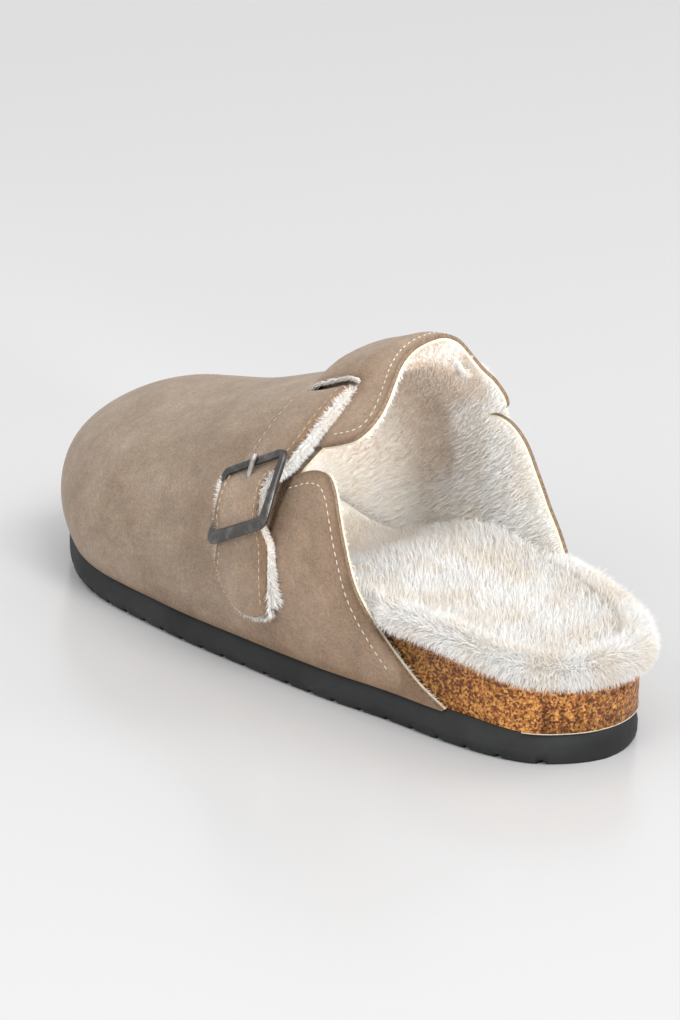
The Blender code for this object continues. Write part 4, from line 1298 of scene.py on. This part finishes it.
def rim_path():
    """Round the open heel from the lateral to the medial side: places, outward directions, stations."""
    u = (1 - np.cos(np.linspace(round_station(ROLL_END), 0, 90))) / 2
    lateral, medial = sides(u)
    rims = cork_rim(u)
    first = np.stack([from_heel(u), lateral, sole_top(u) + rims[0]], -1)
    second = np.stack([from_heel(u), medial, sole_top(u) + rims[1]], -1)[::-1][1:]
    places = np.concatenate([first, second])
    along = np.gradient(places, axis=0)
    outward = np.stack([along[:, 1], -along[:, 0], np.zeros(len(along))], -1)
    outward /= np.linalg.norm(outward, axis=1, keepdims=True)
    if outward[0, 1] < 0:
        outward = -outward
    return places, outward, np.concatenate([u, u[::-1][1:]])


def roll_sections(places, outward, u):
    """The roll's face: it tucks in beside the quarters and hangs lowest at the back of the heel."""
    ends = open_heel(u)
    hang = 0.28 + 0.56 * np.exp(-((u / 0.10) ** 2))
    rows = []
    for out, up in ROLL_PROFILE:
        reach = out * 0.001 - ROLL_TUCK * (1 - ends)
        height = up * 0.001 * np.where(up < 0, hang, 1.0) * (0.25 + 0.75 * ends)
        rows.append(places + outward * reach[:, None] + np.stack([0 * u, 0 * u, height], -1))
    return np.stack(rows, 1)


def build_heel_roll():
    places, outward, u = rim_path()
    rows = roll_sections(places, outward, u)
    tucked = rows[:, -1] - outward * 0.0003
    back = np.stack([tucked, tucked, rows[:, 0]], 1)
    back[:, 1:, 2] = places[:, 2:] + 0.0004
    mesh = grid_mesh("heel_roll", np.concatenate([rows, back], axis=1), True, True)
    soften(mesh, 70)
    settle(mesh_object("heel_roll", mesh, [backing]), "shearling")
    count = len(ROLL_PROFILE)
    outward = np.repeat(outward, count, axis=0)
    skin = grid_mesh("heel_roll_fleece", rows)
    turn_skin(skin, outward)
    comb = outward * 0.35
    comb[:, 2] -= 0.25 + 0.75 * np.tile(np.linspace(0.0, 1.0, count), len(u))
    grow_fleece(skin, np.repeat(0.45 + 0.55 * open_heel(u), count), 1.0, comb, 0.0)


build_insole()
build_insole_fleece()
build_heel_roll()

# %% [markdown]
# ## The lining
#
# Hairs grow inwards from the hide. Under the flap the pile is short and beige, worn flat by the
# instep. The hide's outer face shows only in the two slots, where a short fuzz fills the gap.

# %% Lining fleece
LINING_FRONT = 0.77
LINING_PITCH = 0.0035
LINING_FACE = SUEDE_FACE + HIDE + 0.0001


def lining_skin(name, inward, top_up):
    """The hide's face as a skin for hairs, cut off where the inside is too deep to see."""
    outline = [(min(p, LINING_FRONT), q) for p, q in upper_outline(False) if p < POLE]
    return wrapped_sheet(name, outline, LINING_PITCH, lambda p, q: lining_point(p, q, inward), top_up)


def worn_low(p, q):
    """1 where the instep has worn the pile low: under the flap, and on the inner side's wall."""
    flap = ease((0.50 - np.abs(q + 0.02)) / 0.12) * ease((p - 0.352) / 0.03)
    wall = ease((q + 0.80) / 0.16) * ease((0.1 - q) / 0.2) * ease((p - 0.415) / 0.04)
    return np.maximum(flap, wall)


def build_lining():
    skin, p, q = lining_skin("lining_fleece", LINING_FACE, False)
    edge = np.zeros(len(p), np.float32)
    skin.attributes["edge"].data.foreach_get("value", edge)
    low = worn_low(p, q)
    cover = (1 + 0.2 * low) * (1 - 0.7 * ease((p - 0.47) / 0.10))
    pile = (0.42 + 0.58 * ease((edge - 0.001) / 0.010)) * (1 - 0.62 * low)
    grow_fleece(skin, pile, cover, (0.1, 0, -0.35), low * 0.95)
    skin, p, q = lining_skin("slot_fuzz", SUEDE_FACE, True)
    slots = ease((0.10 - np.abs(np.abs(q) - 0.38)) / 0.02)
    slots = slots * ease((0.535 - p) / 0.01) * ease((p - 0.375) / 0.01)
    grow_fleece(skin, 1.0, slots, (0, 0, 0.1), 0.1)


# %% [markdown]
# The cut edges of the slots are fringed with white fuzz. A ribbon set into the edge carries it.

# %% Fuzz along the bridge
BESIDE_STRAP = slice(7, -3)


def build_bridge_fuzz(side, sign):
    """White fuzz on the slot's cut edge, where the strap comes out from under the bridge."""
    p, q = smooth_path(slot_edge(side)[BESIDE_STRAP], 60).T
    rows = np.stack([upper_point(p, q, inward) for inward in (0.0003, 0.0016)], 1)
    skin = grid_mesh("bridge_fuzz_" + side, rows)
    places = rows.reshape(-1, 3)
    turn_skin(skin, places.mean(axis=0) - places)
    grow_fleece(skin, 1.0, 1.0, (0, 0.25 * sign, 0.5), 0.0)


build_lining()
build_bridge_fuzz("lateral", 1)
build_bridge_fuzz("medial", -1)

# %% [markdown]
# ## The strap
#
# The strap is suede sewn to a band of fleece. It runs from the rivet on the inner side, up under
# the bridge, out through the slot, under the buckle's top bar and on to its tail. Two lofted
# slabs, one on the other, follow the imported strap. Fleece stands out between them at the edges.

# %% Where the strap lies
PIN_HEIGHT = GAP + PRONG + GAP + PIN / 2


def worn_over(k):
    """0 under the bridge, 1 where the strap lies free on the suede."""
    return ease((np.abs(k) - BRIDGE_HALF + 0.015) / 0.058)


def bell(k, middle, reach, power=2):
    """1 at a girth, falling away on both sides of it."""
    return np.exp(-(((k - middle) / reach) ** power))


def strap_faces(k):
    """How far the strap's inner and outer face lie outside the last at a girth."""
    roof = np.minimum(*(bridge_lift(u, k) * last_normal(u, k)[..., 2] for u in strap_edges(k)))
    roof = roof - SUEDE - 1.5 * EDGE_GAP
    over = worn_over(k)
    inner = roof - STRAP_BRIDGED + (GAP - roof + STRAP_BRIDGED) * over
    outer = roof + (GAP + STRAP_THICKNESS - roof) * over
    buckle = bell(k, BUCKLE_GIRTH, 0.075, 4)
    pinned = 2 * PIN_HEIGHT + 2 * BAR_BOW
    return inner + (pinned - inner) * buckle, outer + (pinned + STRAP_SUEDE - outer) * buckle


def strap_point(k, across, offset):
    rear, front = strap_edges(k)
    return above_last(rear + (front - rear) * (across + 1) / 2, k, offset)


def strap_ends(across):
    """Girth of the strap's two ends at a share of its half width: one round, one slanted."""
    round_off = 1 - np.sqrt(np.maximum(0.0, 1 - (0.985 * across) ** 2))
    slant = 0.10 * np.maximum(0.0, (across + 0.2) / 1.2) ** 2.2
    tail = STRAP_TAIL_END - slant - 0.015 * np.maximum(0.0, -across) ** 6
    return STRAP_MEDIAL_END + 0.13 * round_off, tail


# %% Strap slabs
STRAP_STEPS = 150
SUEDE_SLAB = (
    # share of the strap's half width, share of the suede's thickness
    (-0.94, 1.0), (-0.6, 1.0), (-0.2, 1.0), (0.2, 1.0), (0.6, 1.0), (0.94, 1.0), (0.985, 0.9), (1.0, 0.65),
    (1.0, 0.35), (0.985, 0.05), (0.94, 0.0), (0.0, 0.0), (-0.94, 0.0), (-0.985, 0.05), (-1.0, 0.35),
    (-1.0, 0.65), (-0.985, 0.9),
)
FLEECE_SLAB = (
    (-1.03, 1.0), (0.0, 1.0), (0.96, 1.0), (1.00, 0.5), (0.95, 0.0), (0.0, 0.0), (-0.99, 0.0),
    (-1.09, 0.25), (-1.11, 0.65),
)
REAR_PROFILE = ((-1.00, 0.56), (-1.10, 0.50), (-1.15, 0.33), (-1.11, 0.14), (-1.00, 0.03))
FRONT_PROFILE = ((0.97, 0.50), (1.01, 0.30), (0.97, 0.06))
TAIL_LEVELS = (0.52, 0.25, 0.05)
STRAP_HALF_WIDTH = 0.038 * LENGTH
SUEDE_SHARE = 0.46


def strap_column(across, level, steps):
    """A line of points along the strap, at a share of its width and of its thickness."""
    start, end = strap_ends(np.float64(across))
    k = start + (end - start) * np.linspace(0, 1, steps + 1)
    inner, outer = strap_faces(k)
    squeezed = 0.7 * bell(k, 0.79, 0.10, 4)
    across = across - min(across + 1, 0.0) * squeezed
    return k, strap_point(k, across, inner + (outer - inner) * level)


def slab(name, section, low, high):
    """A solid along the strap, between two shares of the strap's thickness."""
    columns = [strap_column(across, low + (high - low) * depth, STRAP_STEPS)[1] for across, depth in section]
    mesh = grid_mesh(name, np.stack(columns, 1), True)
    edge = [(1 - min(1.0, abs(across))) * STRAP_HALF_WIDTH for across, _ in section]
    give_values(mesh, "edge", np.tile(edge, STRAP_STEPS + 1))
    close_ends(mesh, len(section), STRAP_STEPS + 1)
    soften(mesh, 50)
    return mesh


def close_ends(mesh, columns, rows):
    bm = bmesh.new()
    bm.from_mesh(mesh)
    bm.verts.ensure_lookup_table()
    bm.faces.new([bm.verts[i] for i in range(columns)][::-1])
    bm.faces.new([bm.verts[(rows - 1) * columns + i] for i in range(columns)])
    face_outward(bm)
    bm.to_mesh(mesh)
    bm.free()


def build_strap():
    face = slab("suede_strap", SUEDE_SLAB, 1 - SUEDE_SHARE, 1.0)
    settle(mesh_object("suede_strap", face, [suede]), "suede", "strap")
    body = slab("strap_backing", FLEECE_SLAB, 0.04, 1 - SUEDE_SHARE)
    settle(mesh_object("strap_backing", body, [backing]), "shearling")


# %% [markdown]
# The band of fleece is a little wider than the suede, so its hairs show as a white edge. Narrow
# skins along both edges and across the tail carry them, thin where the bridge covers the strap.

# %% Fleece at the strap's edges


def edge_skin(name, profile):
    """A narrow skin round one edge of the strap, facing out, with its girths and directions."""
    lines = [strap_column(across, level, 140) for across, level in profile]
    k = lines[0][0]
    outward = strap_point(k, profile[0][0] * 1.3, 0 * k) - strap_point(k, 0.0, 0 * k)
    outward = outward / np.linalg.norm(outward, axis=1, keepdims=True)
    outward = np.repeat(outward, len(profile), axis=0)
    skin = grid_mesh(name, np.stack([line for _, line in lines], 1))
    turn_skin(skin, outward)
    return skin, np.repeat(k, len(profile)), outward


def build_rear_fleece():
    """A white band that is narrow beside the buckle and flares at the tail."""
    skin, k, outward = edge_skin("strap_fleece_rear", REAR_PROFILE)
    hidden = 1 - worn_over(k)
    tail = ease((k - 0.80) / 0.09)
    comb = outward * 0.2
    comb[:, 2] -= 0.35 + 0.5 * tail
    pile = 1 - 0.4 * hidden - 0.5 * bell(k, 0.78, 0.10, 4) + 0.75 * tail
    grow_fleece(skin, pile, 1 - 0.8 * hidden, comb, 0.0)


def build_front_fleece():
    """Loose tufts that stick out at the front edge, above and below the buckle's lower bar."""
    skin, k, outward = edge_skin("strap_fleece_front", FRONT_PROFILE)
    tufts = bell(k, 0.66, 0.05) + bell(k, 0.79, 0.03) + ease((k - 0.80) / 0.05)
    comb = outward * 0.1 + last_normal(strap_edges(k)[1], k) * 0.8
    cover = (0.25 + tufts) * (0.2 + 0.8 * worn_over(k))
    grow_fleece(skin, 0.6 + 0.4 * np.minimum(1, tufts), cover, comb, 0.0)


def build_tail_fleece():
    across = np.linspace(-0.95, 0.97, 60)
    k = strap_ends(across)[1]
    inner, outer = strap_faces(k)
    rows = [strap_point(k, across, inner + (outer - inner) * level) for level in TAIL_LEVELS]
    skin = grid_mesh("strap_fleece_tail", np.stack(rows, 1))
    turn_skin(skin, (0, 0, -1))
    comb = np.repeat(last_normal(strap_edges(k)[1], k) * 0.6, len(TAIL_LEVELS), axis=0)
    grow_fleece(skin, 1.0, 1.0, comb, 0.0)


build_strap()
build_rear_fleece()
build_front_fleece()
build_tail_fleece()

# %% [markdown]
# ## The buckle
#
# A stamped frame of dark metal: a slim top bar that carries the prong's tip, side bars, a hidden
# centre bar, and a broad lower bar. The frame is one loop of rounded sections through its six
# corners, with extra sections at each corner to bend it softly. The prong is a bent wire.

# %% Buckle frame
FRAME_CORNERS = (
    # girth, share of the strap's half width, how far under the strap's face, width and height of the bar
    (0.568, -1.00, 0.0000, 0.0025, 0.0019), (0.630, 1.02, 0.0000, 0.0022, 0.0019),
    (0.715, 1.06, 0.0050, 0.0022, 0.0019), (0.785, 1.11, 0.0000, 0.0040, 0.0016),
    (0.734, -1.39, 0.0000, 0.0040, 0.0016), (0.660, -1.52, 0.0020, 0.0024, 0.0019),
)
CORNER_BEND = 0.0024
BUCKLE_STATION = 0.44


def frame_corner(girth, across, under):
    """Centre of the frame over the strap at a girth."""
    face = float(strap_faces(np.float64(girth))[1])
    return Vector(strap_point(girth, across, face + GAP + BAR / 2 - under))


def bar_section(centre, tangent, normal, width, height, count=16):
    """A bar's section, square with round corners, its width in the surface and its height off it."""
    tangent = Vector(tangent).normalized()
    across = tangent.cross(Vector(normal)).normalized()
    up = across.cross(tangent).normalized()
    points = []
    for i in range(count):
        angle = 2 * math.pi * (i + 0.5) / count
        c, s = math.cos(angle), math.sin(angle)
        squared = 1 / (abs(c) ** 4 + abs(s) ** 4) ** 0.25
        points.append(Vector(centre) + (across * c * width / 2 + up * s * height / 2) * squared)
    return points


def frame_sections():
    """Sections round the loop, five to bend each corner."""
    corners = [frame_corner(*row[:3]) for row in FRAME_CORNERS]
    normal = Vector(last_normal(BUCKLE_STATION, BUCKLE_GIRTH))
    sections = []
    for n, corner in enumerate(corners):
        following = (n + 1) % len(corners)
        before, after = corners[n - 1], corners[following]
        reach_in = (before - corner).normalized() * CORNER_BEND
        reach_out = (after - corner).normalized() * CORNER_BEND
        sizes = [np.array(FRAME_CORNERS[i][3:]) for i in (n - 1, n, following)]
        for t in (0.0, 0.25, 0.5, 0.75, 1.0):
            a, b, c = (1 - t) ** 2, 2 * t * (1 - t), t * t
            width, height = sizes[0] * 0.2 * a + sizes[1] * (b + 0.8 * a + 0.8 * c) + sizes[2] * 0.2 * c
            centre = corner + reach_in * a + reach_out * c
            heading = reach_out * t - reach_in * (1 - t)
            sections.append(bar_section(centre, heading, normal, width, height))
    return sections


def build_frame():
    rings = np.array([[tuple(point) for point in section] for section in frame_sections()])
    rings = np.concatenate([rings, rings[:1]])
    mesh = grid_mesh("buckle", rings, True)
    turn_outward(mesh)
    soften(mesh, 60)
    settle(mesh_object("buckle", mesh, [metal]), "buckle_metal", "buckle_frame")


# %% [markdown]
# The prong and its pin are wires: a ring of points is carried along a smooth path. Each ring turns
# as little as it can from the one before it, which keeps the wire from twisting.

# %% Wires


def tube(name, path, radius, material, sides_round=10):
    """A round wire along a path of points, with its ends closed."""
    path = [Vector(point) for point in path]
    rings = []
    reference = Vector((0, 0, 1))
    for i, point in enumerate(path):
        tangent = (path[min(i + 1, len(path) - 1)] - path[max(i - 1, 0)]).normalized()
        first = (reference - tangent * reference.dot(tangent)).normalized()
        reference = first
        second = tangent.cross(first)
        ring = []
        for j in range(sides_round):
            angle = 2 * math.pi * j / sides_round
            ring.append(tuple(point + (first * math.cos(angle) + second * math.sin(angle)) * radius))
        rings.append(ring)
    mesh = grid_mesh(name, np.array(rings), True, True)
    soften(mesh, 70)
    return mesh_object(name, mesh, [material])


def build_prong():
    """The prong loops round the hidden pin, comes up through the strap and rests on the top bar."""
    corners = [frame_corner(*row[:3]) for row in FRAME_CORNERS]
    bar = corners[0].lerp(corners[1], 0.46)
    pin = Vector(strap_point(BUCKLE_GIRTH, 0.0, PIN_HEIGHT))
    up = Vector(last_normal(BUCKLE_STATION, BUCKLE_GIRTH))
    ahead = (bar - pin - up * (bar - pin).dot(up)).normalized()
    loop = PIN / 2 + GAP + PRONG / 2
    points = []
    for i in range(9):
        angle = math.radians(-70 - 200 * i / 8)
        points.append(pin + ahead * loop * math.cos(angle) + up * loop * math.sin(angle))
    rest = bar + up * (BAR / 2 + PRONG / 2)
    points.append(points[-1].lerp(rest, 0.5) + up * PRONG * 0.9)
    points.append(rest - ahead * BAR / 2)
    points.append(rest + ahead * BAR * 1.05 - up * 0.0002)
    prong = tube("prong", smooth_path(points, 50), PRONG * 0.72, prong_metal)
    settle(prong, "buckle_metal", "buckle_prong")
    pin_path = smooth_path((corners[5], pin, corners[2]), 30)
    settle(tube("buckle_pin", pin_path, PIN / 2, metal), "buckle_metal")


build_frame()
build_prong()
settle(merged_copy("rivet_cap", "rivet", rivet_metal, 40), "rivet_metal", "rivet_cap")
settle(merged_copy("side_tab", "leather_tab", tab_leather, 40), "tab_leather", "side_tab")

# %% [markdown]
# ## Stitching
#
# A row of cream stitches runs a few millimetres inside every cut edge. Each row is a line of
# points with the surface's direction on them. A tree resamples the line at the stitch's pitch
# and lays a small bead on each point, turned along the row.

# %% The stitch tree
STITCH_PITCH = 0.0025
STITCH_LENGTH = 0.0017
STITCH_WIDTH = 0.00055


def make_stitch():
    bm = bmesh.new()
    bmesh.ops.create_uvsphere(bm, u_segments=6, v_segments=5, radius=0.5)
    for vert in bm.verts:
        vert.co = Vector((vert.co.z * STITCH_LENGTH, vert.co.y * STITCH_WIDTH, vert.co.x * STITCH_WIDTH))
    bmesh.ops.recalc_face_normals(bm, faces=bm.faces)
    mesh = bpy.data.meshes.new("stitch")
    bm.to_mesh(mesh)
    bm.free()
    mesh.shade_smooth()
    return mesh_object("stitch", mesh, [])


def make_stitch_tree():
    inputs = {"Line": "Geometry", "Pitch": "Float", "Stitch": "Object", "Finish": "Material"}
    tree, given = new_tree("stitching", inputs, "Stitches")
    curve = new_node(tree, "GeometryNodeMeshToCurve")
    feed(tree, curve.inputs["Mesh"], given["Line"])
    even = new_node(tree, "GeometryNodeResampleCurve", mode="LENGTH")
    feed(tree, even.inputs["Curve"], curve.outputs[0])
    feed(tree, even.inputs["Length"], given["Pitch"])
    along = new_node(tree, "FunctionNodeAlignRotationToVector", axis="X")
    feed(tree, along.inputs["Vector"], new_node(tree, "GeometryNodeInputTangent").outputs[0])
    upright = new_node(tree, "FunctionNodeAlignRotationToVector", axis="Z", pivot_axis="X")
    feed(tree, upright.inputs["Rotation"], along.outputs[0])
    feed(tree, upright.inputs["Vector"], named(tree, "up", "FLOAT_VECTOR"))
    lay_copies(tree, even.outputs[0], given["Stitch"], upright.outputs[0], given["Finish"])
    return tree


stitch = make_stitch()
stitch_tree = make_stitch_tree()


def sew(name, lines, finish):
    """Stitches along lines, each a pair of arrays: places and surface directions."""
    places, ups, edges = [], [], []
    for points, normals in lines:
        first = len(places)
        places.extend(points.tolist())
        ups.extend(normals.tolist())
        edges.extend((i, i + 1) for i in range(first, first + len(points) - 1))
    mesh = bpy.data.meshes.new(name)
    mesh.from_pydata(places, edges, [])
    give_values(mesh, "up", ups)
    obj = mesh_object(name, mesh, [])
    run_tree(obj, stitch_tree, {"Pitch": STITCH_PITCH, "Stitch": stitch, "Finish": finish})
    settle(obj, "suede")


# %% Rows of stitches
STITCH_INSET = 0.0028
STITCH_SUNK = 0.0001
CLEAR_OF_SOLE = 0.965
STRAP_ROWS = (
    # share of the strap's half width, first and last girth
    (-0.84, BRIDGE_HALF, 0.575), (0.84, BRIDGE_HALF, 0.590), (-0.84, 0.63, 0.895), (0.84, 0.64, 0.835),
    (-0.84, -0.66, -BRIDGE_HALF), (0.84, -0.66, -BRIDGE_HALF),
)


def offset_row(rows, distance):
    """A cut line moved sideways on the flat pattern by a distance in metres."""
    flat = np.array([spread(p, q) for p, q in rows])
    along = np.gradient(flat, axis=0)
    along /= np.linalg.norm(along, axis=1, keepdims=True)
    moved = flat + np.stack([-along[:, 1], along[:, 0]], -1) * distance
    return unspread(moved[:, 0], moved[:, 1])


def upper_row(rows, inset):
    """A row of stitches inside a cut line, with the surface's directions, kept clear of the sole."""
    p, q = offset_row(rows, inset)
    kept = np.abs(q) < CLEAR_OF_SOLE
    p, q = p[kept], q[kept]
    return upper_point(p, q, STITCH_SUNK), last_normal(p, q)


def upper_rows():
    lateral, medial = quarter_line("lateral")[2:], quarter_line("medial")[2:]
    flap = cut_line(FLAP_EDGE)[4:-4]
    return [upper_row(lateral, STITCH_INSET), upper_row(medial, -STITCH_INSET), upper_row(flap, STITCH_INSET)]


def strap_row(side, start, end):
    k = np.linspace(start, end, 160)
    rear, front = strap_edges(k)
    station = rear + (front - rear) * (side + 1) / 2
    return strap_point(k, side, strap_faces(k)[1] - STITCH_SUNK), last_normal(station, k)


sew("upper_stitches", upper_rows(), thread)
sew("strap_stitches", [strap_row(*row) for row in STRAP_ROWS], dull_thread)

# %% [markdown]
# ## Seam lines
#
# Two thin cream lines finish the sole at the open heel: the edge of the leather under the fleece,
# and the line of cement between cork and rubber. Each is a fine wire laid round the heel.

# %% Seam lines


def heel_line(name, height, inset, radius, last_station, material, slot):
    """A wire round the heel, at a height over the floor and an inset from the sole's edge."""
    u = np.concatenate([np.linspace(math.sqrt(last_station), 0.03, 60) ** 2, [0.0]])
    x = from_heel(u) + inset * (1 - ease(u / 0.04))
    lateral, medial = sides(u)
    first = np.stack([x, lateral - inset, height(u, True)], -1)
    second = np.stack([x, medial + inset, height(u, False)], -1)[::-1]
    settle(tube(name, np.concatenate([first, second]), radius, material, 6), slot)


def leather_height(u, lateral_side):
    rim = cork_rim(u)[0 if lateral_side else 1]
    return sole_top(u) + rim - 0.0042 * np.exp(-((u / 0.09) ** 2))


def cement_height(u, lateral_side):
    return sole_top(u) + 0.0002


heel_line("insole_edge", leather_height, -0.0001, 0.0005, 0.16, cut_edge, "shearling")
heel_line("cement_line", cement_height, 0.0001, 0.00018, 0.045, thread, "outsole_rubber")

# %% [markdown]
# ## Finish
#
# The source shapes of the hair and the stitch have done their work and go. The number of pieces
# is printed.

# %% Finish
for source_shape in (hair, stitch):
    bpy.data.objects.remove(source_shape)
print("pieces:", len(PIECES))
